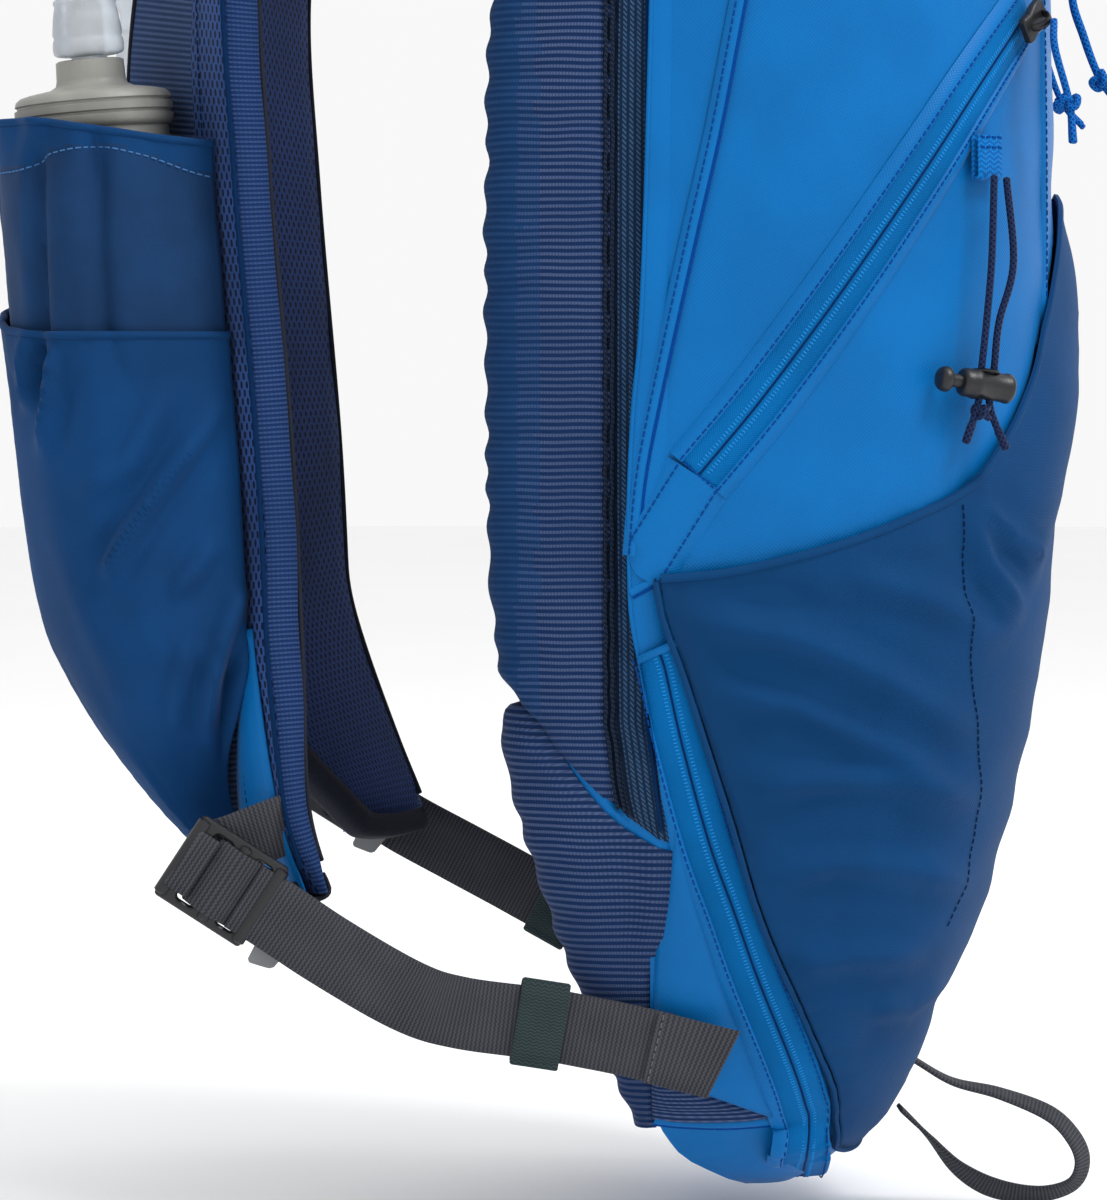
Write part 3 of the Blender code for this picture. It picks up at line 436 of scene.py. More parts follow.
# Copies of the rib mesh in painted shade: less highlight, for where the back pad turns toward the
# wearer and away from the light.
RIB_SHADED = ribbed("rib_mesh_shaded", (0.0050, 0.026, 0.090), (0.052, 0.095, 0.215), 0.0019, 0.0010,
                   0.00022)
RIB_DEEP_SHADE = ribbed("rib_mesh_deep_shade", (0.0050, 0.030, 0.100), (0.020, 0.062, 0.165), 0.0019, 0.0010,
                   0.00012)
KNIT = knitted("knit_binding", (0.0030, 0.014, 0.040), (0.034, 0.090, 0.185), 0.0021, 0.0014,
               0.0003)
KNIT_DARK = knitted("knit_seam", (0.001, 0.006, 0.020), (0.007, 0.022, 0.055), 0.0030, 0.0014,
                    0.0004)
COARSE_MESH = holed("coarse_mesh", (0.002, 0.008, 0.035), (0.022, 0.062, 0.205), 0.0034, 0.0046,
                    0.10, 0.35, 0.0005)
FINE_MESH = ribbed("fine_mesh", (0.0060, 0.024, 0.090), (0.045, 0.085, 0.220), 0.0013, 0.0013,
                   0.0003)
STRAP_FACE = ribbed("strap_face", (0.008, 0.030, 0.095), (0.075, 0.120, 0.250), 0.0016, 0.0010,
                    0.0003)
HEX_MESH = holed("hex_mesh", (0.0030, 0.008, 0.030), (0.012, 0.036, 0.135), 0.0030, 0.0042,
                 0.15, 0.45, 0.0004)
BINDING = woven("edge_binding", (0.016, 0.018, 0.028), 0.75, 0.0012, 0.00015)
WEB = banded("webbing_weave", (0.012, 0.013, 0.017), (0.078, 0.080, 0.094), 0.0012, 0.0006,
             0.00018)
ELASTIC = banded("keeper_weave", (0.010, 0.018, 0.020), (0.042, 0.064, 0.068), 0.0009, 0.0010,
                 0.00015)
AZURE_WEB = banded("azure_web", (0.0, 0.06, 0.26), (0.002, 0.19, 0.54), 0.0014, 0.0018, 0.0002)
CORD_BLUE = braided("pull_cord_braid", (0.0, 0.035, 0.19), (0.0, 0.12, 0.44))
CORD_NAVY = braided("bungee_braid", (0.002, 0.004, 0.018), (0.009, 0.022, 0.075))
BLACK = moulded("black_plastic", (0.009, 0.0095, 0.012), 0.38)
GREY_TAB = moulded("grey_plastic", (0.16, 0.17, 0.18), 0.45)
CAP = moulded("cap_plastic_grain", (0.235, 0.235, 0.215), 0.45)
CLEAR = moulded("clear_silicone", (0.72, 0.77, 0.82), 0.32,
                sockets={"Transmission Weight": 0.55, "IOR": 1.38,
                         "Subsurface Weight": 0.15, "Subsurface Radius": (0.01, 0.01, 0.01)})
FILM = moulded("flask_film", (0.42, 0.52, 0.62), 0.28, sockets={"Coat Weight": 0.3})
# Blue thread colour, also used for the painted shade in the seams' ditches.
THREAD_AND_SHADE_BLUE = plain_thread("thread_and_shade_blue", (0.0, 0.040, 0.21))
THREAD_LIGHT = plain_thread("thread_light", (0.016, 0.215, 0.56))
THREAD_NAVY = plain_thread("thread_navy", (0.001, 0.016, 0.062))
THREAD_LIGHT_NAVY = plain_thread("thread_light_navy", (0.05, 0.14, 0.32))
THREAD_GREY = plain_thread("thread_grey", (0.10, 0.10, 0.11))
# Dark colour of the zips' parting line, painted shade between the teeth.
COIL_GAP_SHADE = plain_thread("coil_gap_shade", (0.0005, 0.018, 0.085))


# ---- Making pieces ------------------------------------------------------------------------
SHARP_ANGLE, BEVEL_ANGLE = math.radians(50), math.radians(40)
SHELL_THICK, STRETCH_THICK, TAPE_THICK = 0.0014, 0.0008, 0.0006
# Length, width and height of raised stitches and zip teeth
TACK, SHORT_TACK = (0.0018, 0.0006, 0.0005), (0.0017, 0.0006, 0.0005)
END_TACK, WEB_TACK = (0.0015, 0.0007, 0.0006), (0.0015, 0.0005, 0.0005)
TOOTH, LID_TOOTH = (0.0015, 0.00042, 0.0005), (0.0016, 0.0005, 0.0005)


def make_piece(name, points, faces, uvs, materials, zones=None):
    """A mesh object from design-frame points, with cloth coordinates in metres."""
    mesh = bpy.data.meshes.new(name)
    mesh.from_pydata([tuple(p - HOOK) for p in points], [], faces)
    layer = mesh.uv_layers.new(name="cloth")
    layer.data.foreach_set("uv", [value for pair in uvs for value in pair])
    for material in materials:
        mesh.materials.append(material)
    if zones:
        mesh.polygons.foreach_set("material_index", zones)
    mesh.shade_smooth()
    mesh.set_sharp_from_angle(angle=SHARP_ANGLE)
    made = bpy.data.objects.new(name, mesh)
    bpy.context.scene.collection.objects.link(made)
    return made


def wear(piece, body, nodes, slot):
    """Rides a piece on its body and hides the CAD parts that it stands for; slot is not used."""
    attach(piece, body)
    if nodes:
        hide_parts(*nodes)
    return piece


def grid_piece(name, rows, materials, wrap=False, caps=False, zone=None, flow=None):
    """A surface through rows of points; wrap closes each row, caps closes the ends."""
    columns = len(rows[0])
    points = [point for row in rows for point in row]
    middle = rows[len(rows) // 2]
    across = lengths(middle + [middle[0]] if wrap else middle)
    along = lengths([row[columns // 3] for row in rows])
    faces, uvs, zones = [], [], []
    for i in range(len(rows) - 1):
        for j in range(columns if wrap else columns - 1):
            k = (j + 1) % columns
            faces.append((i * columns + j, i * columns + k,
                          (i + 1) * columns + k, (i + 1) * columns + j))
            if flow:
                uvs += [(across[j], flow(rows[i][j])), (across[j + 1], flow(rows[i][k])),
                        (across[j + 1], flow(rows[i + 1][k])), (across[j], flow(rows[i + 1][j]))]
            else:
                uvs += [(across[j], along[i]), (across[j + 1], along[i]),
                        (across[j + 1], along[i + 1]), (across[j], along[i + 1])]
            zones.append(zone(i, j) if zone else 0)
    if caps:
        for row, order in ((0, -1), (len(rows) - 1, 1)):
            faces.append(tuple(row * columns + j for j in range(columns))[::order])
            uvs += [(across[j], along[row]) for j in range(columns)][::order]
            zones.append(0)
    return make_piece(name, points, faces, uvs, materials, zones)


def solid(name, rows, material):
    """A closed piece of one material through rings of points."""
    return grid_piece(name, rows, [material], wrap=True, caps=True)


def thicken(piece, thickness=TAPE_THICK, offset=0.0):
    """Gives an open sheet its thickness."""
    layer = piece.modifiers.new("thickness", "SOLIDIFY")
    layer.thickness = thickness
    layer.offset = offset
    return piece


def soften(piece, width, segments=2):
    """Rounds a hard piece's edges."""
    bevel = piece.modifiers.new("edges", "BEVEL")
    bevel.width = width
    bevel.segments = segments
    bevel.limit_method = "ANGLE"
    bevel.angle_limit = BEVEL_ANGLE
    return piece


def band(width, thick):
    """Closed section of a flat strap with round edges, as (across, up) pairs."""
    w, t = width / 2, thick / 2
    r = min(t, w) * 0.9
    return [(-w + r, -t), (-w / 2, -t), (0, -t), (w / 2, -t), (w - r, -t), (w, -t * 0.3), (w, t * 0.3),
            (w - r, t), (w / 2, t), (0, t), (-w / 2, t), (-w + r, t), (-w, t * 0.3), (-w, -t * 0.3)]


def strip(name, centre, facing, section, materials, closed=True, zone=None):
    """Sweeps a section along a path; facing is the up direction at each point."""
    rows = []
    for point, up, along in zip(centre, facing, tangents(centre)):
        side = up.cross(along).normalized()
        up = along.cross(side).normalized()
        rows.append([point + side * x + up * y for x, y in section])
    return grid_piece(name, rows, materials, wrap=closed, caps=closed, zone=zone)


def tube(name, path, radius, material, sides=10):
    """Round cord along a path, with domed ends. radius is a number or a function of the share."""
    rows = []
    up = Vector((0.31, 0.17, 0.94))
    for k, (point, along) in enumerate(zip(path, tangents(path))):
        side = up.cross(along).normalized()
        up = along.cross(side).normalized()
        share = k / (len(path) - 1)
        size = radius(share) if callable(radius) else radius
        rows.append([point + (side * x + up * y) * size
                     for x, y in (spoke(j, sides) for j in range(sides))])
    for row, place, way in ((0, path[0], -1), (-1, path[-1], 1)):
        along = tangents(path)[row] * way
        dome = [place + (p - place) * 0.55 + along * (rows[row][0] - place).length * 0.35
                for p in rows[row]]
        rows.insert(0 if row == 0 else len(rows), dome)
    return solid(name, rows, material)


def turned(name, profile, base, axis, material, sides=40, ridge=None):
    """Solid of revolution; profile holds (radius, distance). ridge adds grip ribs by angle."""
    turn = axis.normalized().to_track_quat("Z", "Y")
    rows = []
    for radius, height in profile:
        row = []
        for k in range(sides):
            a = 2 * math.pi * k / sides
            reach = radius + (ridge(a, height) if ridge else 0.0)
            row.append(base + turn @ Vector((reach * math.cos(a), reach * math.sin(a), height)))
        rows.append(row)
    return solid(name, rows, material)


def dashes(name, spots, material, size):
    """Many small raised dashes, such as stitches or zip teeth; spots are (place, way, up)."""
    length, width, height = size
    points, faces, uvs = [], [], []
    for place, way, up in spots:
        side = up.cross(way).normalized()
        first = len(points)
        for x, y, z in ((-1, -1, -0.6), (1, -1, -0.6), (1, 1, -0.6), (-1, 1, -0.6),
                        (-0.7, -0.6, 1), (0.7, -0.6, 1), (0.7, 0.6, 1), (-0.7, 0.6, 1)):
            points.append(place + way * x * length / 2 + side * y * width / 2 + up * z * height / 2)
        for corners in ((0, 1, 5, 4), (1, 2, 6, 5), (2, 3, 7, 6), (3, 0, 4, 7), (4, 5, 6, 7)):
            faces.append(tuple(first + c for c in corners))
            uvs += [(0.0, 0.0)] * 4
    return make_piece(name, points, faces, uvs, [material])


def along_path(centre, facing, pitch, aside=0.0, lift=0.0, across=False, start=0.0):
    """Evenly spaced (place, way, up) spots along a path."""
    run = lengths(centre)
    ways = tangents(centre)
    spots, at, k = [], start + pitch / 2, 0
    while at < run[-1] - pitch / 2:
        while k < len(run) - 2 and run[k + 1] < at:
            k += 1
        part = (at - run[k]) / max(run[k + 1] - run[k], 1e-9)
        up = facing[k].lerp(facing[k + 1], part).normalized()
        way = ways[k].lerp(ways[k + 1], part).normalized()
        side = up.cross(way).normalized()
        spots.append((centre[k].lerp(centre[k + 1], part) + side * aside + up * lift,
                      side if across else way, up))
        at += pitch
    return spots


def stitch(name, centre, facing, material, aside=0.0, lift=0.0003, body="pack", pitch=0.0023):
    spots = along_path(centre, facing, pitch, aside, lift)
    made = dashes(name, spots, material, (pitch * 0.72, 0.00045, 0.0004))
    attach(made, body)
    return made


# Rear edge of the bright cloth, which laps over the pads' binding: (height, depth)
REAR_EDGE = ((0.0, 0.0002), (0.058, 0.0002), (0.070, 0.0010), (0.084, 0.0036), (0.0987, 0.0046),
             (0.118, 0.0026), (0.136, 0.0002), (0.150, -0.0024), (0.170, -0.0056), (0.192, -0.0060),
             (0.219, -0.0050), (0.244, -0.0028), (0.300, -0.0008), (0.350, 0.0002), (0.46, 0.0002))
rear_edge = smooth_line(REAR_EDGE)


def behind_seam(piece):
    """Keeps a sewn strip from standing out over the pads."""
    for vert in piece.data.vertices:
        vert.co.y = max(vert.co.y, rear_edge(vert.co.z + HOOK.z) - HOOK.y)
    return piece


def unzip(pairs):
    """Points and normals as two lists, from a list of such pairs."""
    return [point for point, _ in pairs], [normal for _, normal in pairs]


def on_side(line, out, side, count):
    """Points and normals on the bag's side along a line of (depth, height)."""
    route = smooth_path([(y, z, 0) for y, z in line], count)
    return unzip([hull_at(p.x, p.y, out, side) for p in route])


# ---- Camera, light and floor --------------------------------------------------------------
VIEW_FROM, VIEW_AT, LENS_MM = (1.52, 0.0, 0.238), (0.1, -0.027, 0.169), 153.4
# Area lamps: name, place, size and power
LAMPS = (("key", (0.75, 1.0, 1.6), 0.7, 27.0), ("fill", (1.5, -1.5, 0.3), 1.6, 2.0),
         ("top", (0.0, 0.2, 1.9), 1.4, 6.0), ("rear", (-1.5, 0.4, 0.7), 1.6, 3.0))
LAMPS_DOWN, WORLD_LIGHT = 0.24, 0.94


def look_at(thing, target):
    thing.rotation_euler = (target - thing.location).to_track_quat("-Z", "Y").to_euler()


def studio():
    scene = bpy.context.scene
    lens = bpy.data.cameras.new("view")
    lens.lens, lens.sensor_width = LENS_MM, 36.0
    camera = bpy.data.objects.new("view", lens)
    camera.location = Vector(VIEW_FROM) - HOOK
    look_at(camera, Vector(VIEW_AT) - HOOK)
    scene.collection.objects.link(camera)
    scene.camera = camera
    lens.clip_start = 0.05
    for name, place, size, power in LAMPS:
        lamp = bpy.data.lights.new(name, "AREA")
        lamp.energy, lamp.size = power, size
        light = bpy.data.objects.new(name, lamp)
        light.location = Vector(place) - Vector((0, 0, LAMPS_DOWN))
        look_at(light, Vector((0, 0, -LAMPS_DOWN)))
        scene.collection.objects.link(light)
    world = bpy.data.worlds.new("studio")
    world.use_nodes = True
    world.node_tree.nodes["Background"].inputs[0].default_value = (1.0, 1.0, 1.0, 1.0)
    world.node_tree.nodes["Background"].inputs[1].default_value = WORLD_LIGHT
    scene.world = world
    scene.view_settings.view_transform = "Standard"
    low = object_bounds()[0].z - 0.004
    bpy.ops.mesh.primitive_circle_add(vertices=96, radius=6.0, fill_type="NGON",
                                      location=(0, 0, low))
    floor = bpy.context.object
    floor.name = "floor"
    paper = Surface("floor_paper", 0.9)
    paper.colour(paper.blend(paper.cloud(3.0), (0.93, 0.93, 0.93), (0.96, 0.96, 0.96)))
    floor.data.materials.append(paper.material)
    floor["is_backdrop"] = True


# ---- Cords --------------------------------------------------------------------------------
BUNGEE_WIDE, PULL_WIDE = 0.0021, 0.0020
SIDE_PULL = ((0.0847, 0.1127, 0.3225), (0.0831, 0.1166, 0.3110), (0.0826, 0.1176, 0.3010))
MAIN_PULL = ((0.0640, 0.1190, 0.3400), (0.0660, 0.1222, 0.3270), (0.0671, 0.1253, 0.3165),
             (0.0681, 0.1303, 0.3110))
SLIDER_OUT, SLIDER_MAIN_OUT, PULL_OUT = 0.0056, 0.0074, 0.0064


def knot(name, place, axis, size, cord, material, body):
    """An overhand knot: a trefoil of the cord pulled tight."""
    turn = axis.normalized().to_track_quat("Z", "Y")
    path = []
    for k in range(49):
        t = 2 * math.pi * k / 48
        path.append(place + turn @ Vector((
            (math.sin(t) + 2 * math.sin(2 * t)) * size / 3,
            (math.cos(t) - 2 * math.cos(2 * t)) * size / 3,
            -math.sin(3 * t) * size * 0.55)))
    made = tube(name, path, cord / 2 * 0.98, material, 8)
    return wear(made, body, [], "pull_cord" if material == CORD_BLUE else "bungee_cord")


def declare(piece, path, wide):
    round(lengths(path)[-1], 3)
    [p - HOOK for p in path]


def bungee_route(side):
    """The points of the shock cord's loop, as in the CAD model."""
    place, normal = hull_at(0.0905, 0.2925, 0.0042, side)
    lock = Vector((side * 0.1035, 0.0905, 0.229))
    eye = place + normal * 0.0045 + Vector((0, 0, -0.0065))
    up = (eye - lock).normalized()
    barrel = Vector((side * -0.45, 0.893, 0))
    barrel = (barrel - up * barrel.dot(up)).normalized()
    return place, normal, lock, eye, up, barrel


def bungee(tag, side, word):
    place, normal, lock, eye, up, barrel = bungee_route(side)
    bow_out = normal * 0.0012
    cords = []
    knot_at = lock - up * 0.0075 + barrel * 0.0022
    tied = knot(f"bungee_knot_{tag}", knot_at, up, 0.0024, BUNGEE_WIDE, CORD_NAVY, "pack")
    for name, shift, bow in (("rear", 0.0005, 0.0), ("front", 0.0045, 0.0030)):
        grip = lock + barrel * shift
        start = eye + barrel * (shift - 0.0025)
        middle = start.lerp(grip, 0.40) + barrel * bow + bow_out
        tail = grip + Vector((0, 0, -0.0165)) + barrel * (2.2 * (shift - 0.0025))
        route = [start, middle, grip + up * 0.018, grip + up * 0.006, grip, grip - up * 0.0060,
                 tail]
        path = smooth_path(route, 44)
        piece = tube(f"bungee_{name}_cord_{tag}", path, BUNGEE_WIDE / 2, CORD_NAVY)
        wear(piece, "pack", [f"bungee_{name}_{tag}"], "bungee_cord")
        tip = tube(f"bungee_tip_{name}_{tag}", path[-4:], 0.00125, CORD_NAVY, 8)
        wear(tip, "pack", [], "bungee_cord")
        cords.append((piece, path, tip))
    for piece, path, tip in cords:
        declare(piece, path, BUNGEE_WIDE)
    anchor(tag, place, normal)
    cord_lock(tag, word, lock, barrel, up)


def anchor(tag, place, normal):
    """The folded webbing tab that the shock cord hangs from."""
    down = (Vector((0, 0, -1)) - normal * normal.z * -1).normalized()
    path, facing = [], []
    for k in range(15):
        t = k / 14
        turn = math.pi * ease(t, 0.35, 0.65)
        hang = 0.0062 * math.sin(math.pi * min(t, 1 - t)) + 0.0004
        path.append(place - normal * 0.0016 + down * hang
                    + normal * 0.0022 * (1 - math.cos(turn)) / 2
                    + down * -0.0058 * (1 - math.sin(math.pi * t)))
        facing.append((-normal * math.cos(turn) + down * math.sin(turn)).normalized())
    tab = strip(f"bungee_tab_{tag}", path, facing, band(0.0100, 0.0011), [AZURE_WEB])
    wear(tab, "pack", [f"bungee_anchor_{tag}"], "shell_fabric")
    across = normal.cross(down).normalized()
    for k, height in enumerate((0.0048, 0.0020)):
        spots = [(place + normal * 0.0013 - down * height + across * x, across, normal)
                 for x in (-0.0036, -0.0012, 0.0012, 0.0036)]
        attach(dashes(f"bungee_tack_{k}_{tag}", spots, THREAD_AND_SHADE_BLUE, SHORT_TACK), "pack")


LOCK_BARREL = ((0.0030, -0.0002), (0.0037, 0.0003), (0.0040, 0.0012), (0.0040, 0.0034),
               (0.0043, 0.0038), (0.0043, 0.0050), (0.0040, 0.0054), (0.0040, 0.0136),
               (0.0042, 0.0140), (0.0042, 0.0150), (0.0036, 0.0157), (0.0020, 0.0158))
LOCK_CAP = ((0.0012, -0.0008), (0.0028, -0.0006), (0.0034, 0.0002), (0.0036, 0.0012),
            (0.0034, 0.0022), (0.0026, 0.0028), (0.0019, 0.0030), (0.0019, 0.0062))


def cord_lock(tag, word, lock, barrel, up):
    """A barrel cord lock with a sprung button on its end."""
    body = turned(f"cord_lock_barrel_{tag}", LOCK_BARREL, lock - barrel * 0.0055, barrel, BLACK,
                  36, lambda a, h: 0.00012 * math.cos(18 * a) if 0.0062 < h < 0.0130 else 0.0)
    wear(body, "cord_lock_" + word, [f"cord_lock_{tag}"], "black_plastic")
    eye = ring_path(lock + barrel * 0.0025 + up * 0.0038, up, 0.0029)
    ring = strip(f"cord_lock_eye_{tag}", *eye, band(0.0012, 0.0012), [BLACK])
    wear(ring, "cord_lock_" + word, [], "black_plastic")
    button = turned(f"cord_lock_cap_{tag}", LOCK_CAP, lock - barrel * 0.0118, barrel, BLACK, 28)
    wear(button, "cord_lock_button_" + word, [f"cord_lock_button_{tag}"], "black_plastic")


def ring_path(centre, axis, radius, count=25):
    turn = axis.normalized().to_track_quat("Z", "Y")
    spokes = [spoke(k, count - 1) for k in range(count)]
    return [centre + turn @ Vector((radius * x, radius * y, 0)) for x, y in spokes], [axis] * count


def slider_axes(place, toward, normal):
    along = (toward - place).normalized()
    normal = (normal - along * normal.dot(along)).normalized()
    return along, normal.cross(along), normal


def slider(name, place, axes, body, node):
    """A zip slider: waisted plate, two side flanges and an arched bail."""
    along, across, up = axes
    outline = ((-0.0062, 0.0030), (-0.0050, 0.0040), (-0.0015, 0.0042), (0.0020, 0.0034),
               (0.0050, 0.0040), (0.0062, 0.0034))
    rows = []
    for height, shrink in ((-0.0013, 0.88), (-0.0010, 1.0), (0.0008, 1.0), (0.0013, 0.86)):
        edge = [(x, y) for x, y in outline] + [(x, -y) for x, y in reversed(outline)]
        rows.append([place + along * x * shrink + across * y * shrink + up * height
                     for x, y in edge])
    plate = solid(name, rows, BLACK)
    wear(soften(plate, 0.0003), body, [node], "black_plastic")
    bail = []
    for k in range(15):
        a = math.pi * k / 14
        bail.append(place + along * 0.0036 * math.cos(a) + up * (0.0008 + 0.0040 * math.sin(a)))
    arch = strip(name + "_bail", bail, [across] * 15, band(0.0010, 0.0022), [BLACK])
    wear(arch, body, [], "black_plastic")


def pull(name, start, route, side, body, node):
    """A doubled pull cord: two strands, a knot, and two loose tails."""
    points = [start] + [Vector((side * x, y, z)) for x, y, z in route]
    tie = points[-2].lerp(points[-1], 0.35)
    way = (points[-1] - points[-2]).normalized()
    aside = way.cross(Vector((0, 1, 0))).normalized()
    tied = knot(name + "_knot", tie, way, 0.0027, PULL_WIDE, CORD_BLUE, body)
    for k, sign in enumerate((-1, 1)):
        strand = [p + aside * sign * (0.0014 if 0 < i < len(points) - 1 else 0.0008)
                  for i, p in enumerate(points)]
        strand[-2] = tie + aside * sign * 0.0010
        strand[-1] = points[-1] + aside * sign * 0.0036 + way * 0.0045
        path = smooth_path(strand, 40)
        piece = tube(f"{name}_strand_{k}", path, PULL_WIDE / 2, CORD_BLUE)
        wear(piece, body, [node], "pull_cord")
        declare(piece, path, PULL_WIDE)


def sliders_and_pulls(tag, side, word):
    place, normal = hull_at(0.1025, 0.3305, SLIDER_OUT, side)
    low, _ = hull_at(0.0940, 0.3177, SLIDER_OUT, side)
    axes = slider_axes(place, low, normal)
    body = "side_zip_slider_" + word
    slider(f"side_slider_{tag}", place, axes, body, f"side_zip_slider_{tag}")
    pull(f"side_pull_{tag}", place + axes[2] * PULL_OUT, SIDE_PULL, side, body,
         f"side_zip_pull_{tag}")
    place, normal = on_cut(0.1100, 0.0, SLIDER_MAIN_OUT, side)
    toward, _ = on_cut(0.0995, 0.0, SLIDER_MAIN_OUT, side)
    axes = slider_axes(place, toward, normal)
    body = "main_zip_slider_" + word
    slider(f"main_slider_{tag}", place, axes, body, f"main_zip_slider_{tag}")
    pull(f"main_pull_{tag}", place + axes[2] * PULL_OUT, MAIN_PULL, side, body,
         f"main_zip_pull_{tag}")


def on_cut(y, shift, out, side):
    """Point of the bag's surface on the lid's cut, shifted across it by a small distance."""
    slope = LID_RISE / LID_RUN
    normal = Vector((0, slope, 1)).normalized()
    z = LID_HINGE.z + (LID_HINGE.y - y) * slope
    y, z = y + normal.y * shift, z + normal.z * shift
    z = min(z, 0.4575)
    y = min(max(y, back_of(z) + 0.001), front_of(z) - 0.0002)
    return hull_at(y, z, out, side)


# ---- Bag shell, lid and seams ---------------------------------------------------------------
SIDE_ZIP = ((0.0129, 0.2041), (0.0304, 0.2254), (0.0522, 0.2550), (0.0740, 0.2870),
            (0.0905, 0.3125), (0.1045, 0.3335))
LOWER_ZIP = ((0.0020, 0.157), (0.0040, 0.151), (0.0085, 0.131), (0.0160, 0.1033),
             (0.0229, 0.0838), (0.0294, 0.0647), (0.0375, 0.0433), (0.0420, 0.030),
             (0.0450, 0.018))
PANEL_SEAM = ((-0.0046, 0.1822), (-0.0027, 0.2028), (0.0014, 0.2248), (0.0110, 0.2687),
              (0.0178, 0.2988), (0.0246, 0.3344), (0.0290, 0.357), (0.0330, 0.378))
MAIN_ZIP_DEPTHS = (0.1125, 0.106, 0.098, 0.088, 0.076, 0.064, 0.053, 0.046, 0.041)


def slack(y, z, side):
    """How far the shell's cloth stands in or out, kept flat beside zips and seams."""
    calm = ease(line_gap(y, z, SIDE_ZIP)[0], 0.008, 0.022)
    calm *= ease(line_gap(y, z, PANEL_SEAM)[0], 0.002, 0.012)
    calm *= ease(line_gap(y, z, LOWER_ZIP)[0], 0.008, 0.02)
    broad = 0.0015 * wander(y * 24 + side, z * 16, side * 3.1)
    crease = 0.0011 * wander(y * 55 - z * 32, z * 30 + y * 20, 5.0 + side)
    return calm * (broad + crease)


def hull_rows():
    """Rings of the bag's cloth from the underside to the top, closed by shrinking ends."""
    count, rows, across = 132, [], 14
    angles = [0.0, 0.003, 0.008, 0.014] + [math.pi * k / 150 for k in range(1, 75)]
    angles += [math.pi / 2] + [math.pi - t for t in reversed(angles)]
    for i in range(count + 1):
        z = FRONT[0][0] + (FRONT[-1][0] - FRONT[0][0]) * i / count
        ring = []
        for t in angles:
            point, normal = hull_point(t, z)
            edge = max(math.sin(t), 0.0) ** 0.5
            fold = min(t, math.pi - t)
            if fold > HEM[0][0] and seam_of(fold) < z < hem_of(fold) - 0.003:
                ring.append(point - normal * 0.0009)
                continue
            ring.append(point + normal * slack(point.y, z, 1 if point.x > 0 else -1) * edge)
        first, last = ring[-1], ring[0]
        ring += [first.lerp(last, k / across) for k in range(1, across)]
        rows.append(ring)
    for end, drop in ((0, -0.0006), (-1, 0.0006)):
        middle = sum(rows[end], Vector()) / len(rows[end])
        for share in (0.72, 0.4):
            ring = [middle.lerp(p, share) + Vector((0, 0, drop * (1 - share))) for p in rows[end]]
            rows.insert(0 if end == 0 else len(rows), ring)
    return rows


def shell():
    """The bag's cloth, cut into the body and the lid along the slanted zip."""
    rows = hull_rows()
    whole = grid_piece("hull", rows, [SHELL, LINING], wrap=True, caps=True)
    slant = Vector((0, LID_RISE, LID_RUN)).normalized()
    for name, lid, body, node in (("bag_shell", False, "pack", "main_bag"),
                                  ("lid_shell", True, "lid", "top_lid")):
        bm = bmesh.new()
        bm.from_mesh(whole.data)
        bmesh.ops.recalc_face_normals(bm, faces=bm.faces)
        at = LID_HINGE - HOOK + slant * (LID_GAP / 2 if lid else -LID_GAP / 2)
        bmesh.ops.bisect_plane(bm, geom=bm.verts[:] + bm.edges[:] + bm.faces[:], plane_co=at,
                               plane_no=slant, clear_inner=lid, clear_outer=not lid)
        mesh = bpy.data.meshes.new(name)
        bm.to_mesh(mesh)
        bm.free()
        for material in (SHELL, LINING):
            mesh.materials.append(material)
        mesh.shade_smooth()
        piece = bpy.data.objects.new(name, mesh)
        bpy.context.scene.collection.objects.link(piece)
        thicken(piece, SHELL_THICK, -1.0).modifiers[0].material_offset = 1
        wear(piece, body, [node], "shell_fabric")
    bpy.data.objects.remove(whole, do_unlink=True)


def welt(name, centre, facing, material, body="pack", width=0.0042, height=0.0007):
    """A turned seam: a low ridge of cloth that falls away on one side, with its ditch painted dark as
    shade.
    """
    w = width
    ridge = [(-0.25 * w, -0.0006), (-0.2 * w, 0.3 * height), (-0.05 * w, 0.9 * height),
             (0.15 * w, height), (0.45 * w, 0.75 * height), (0.75 * w, -0.0006)]
    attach(strip(name, centre, facing, ridge, [material], closed=False), body)
    # Painted shade: a dark strip along the seam's ditch.
    shade_line = [(-0.0006, -0.0003), (-0.0004, 0.00025), (0.0004, 0.00025), (0.0006, -0.0003)]
    shifted = [p + up.cross(way).normalized() * -0.3 * w
               for p, up, way in zip(centre, facing, tangents(centre))]
    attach(strip(name + "_shade_line", shifted, facing, shade_line, [THREAD_AND_SHADE_BLUE], closed=False), body)


def rear_lap(tag, side):
    """Bright cloth that laps over the binding beside the panel seam, with a turned edge."""
    low, high, front = 0.139, 0.349, 0.007
    rows = []
    for i in range(61):
        z = low + (high - low) * i / 60
        y0 = rear_edge(z)
        rows.append([hull_at(y0 + (front - y0) * k / 8, z, 0.0009 - 0.0030 * (k / 8) ** 3,
                             side)[0] for k in range(9)])
    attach(thicken(grid_piece(f"rear_lap_{tag}", rows, [SHELL]), 0.0010), "pack")
    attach(tube(f"rear_lap_edge_{tag}", [row[0] for row in rows], 0.0007, SHELL, 8), "pack")


def shell_seams(tag, side):
    rear_lap(tag, side)
    centre, facing = on_side(PANEL_SEAM, 0.0012, side, 80)
    if side < 0:
        centre, facing = centre[::-1], facing[::-1]
    welt(f"panel_seam_{tag}", centre, facing, SHELL)
    stitch(f"panel_stitches_{tag}", centre, facing, THREAD_AND_SHADE_BLUE, 0.0014, 0.0008)
    centre, facing = on_side(((-0.0054, 0.1715), (0.0035, 0.1765)), 0.0014, side, 6)
    welt(f"garage_seam_{tag}", centre, facing, SHELL, width=0.003)


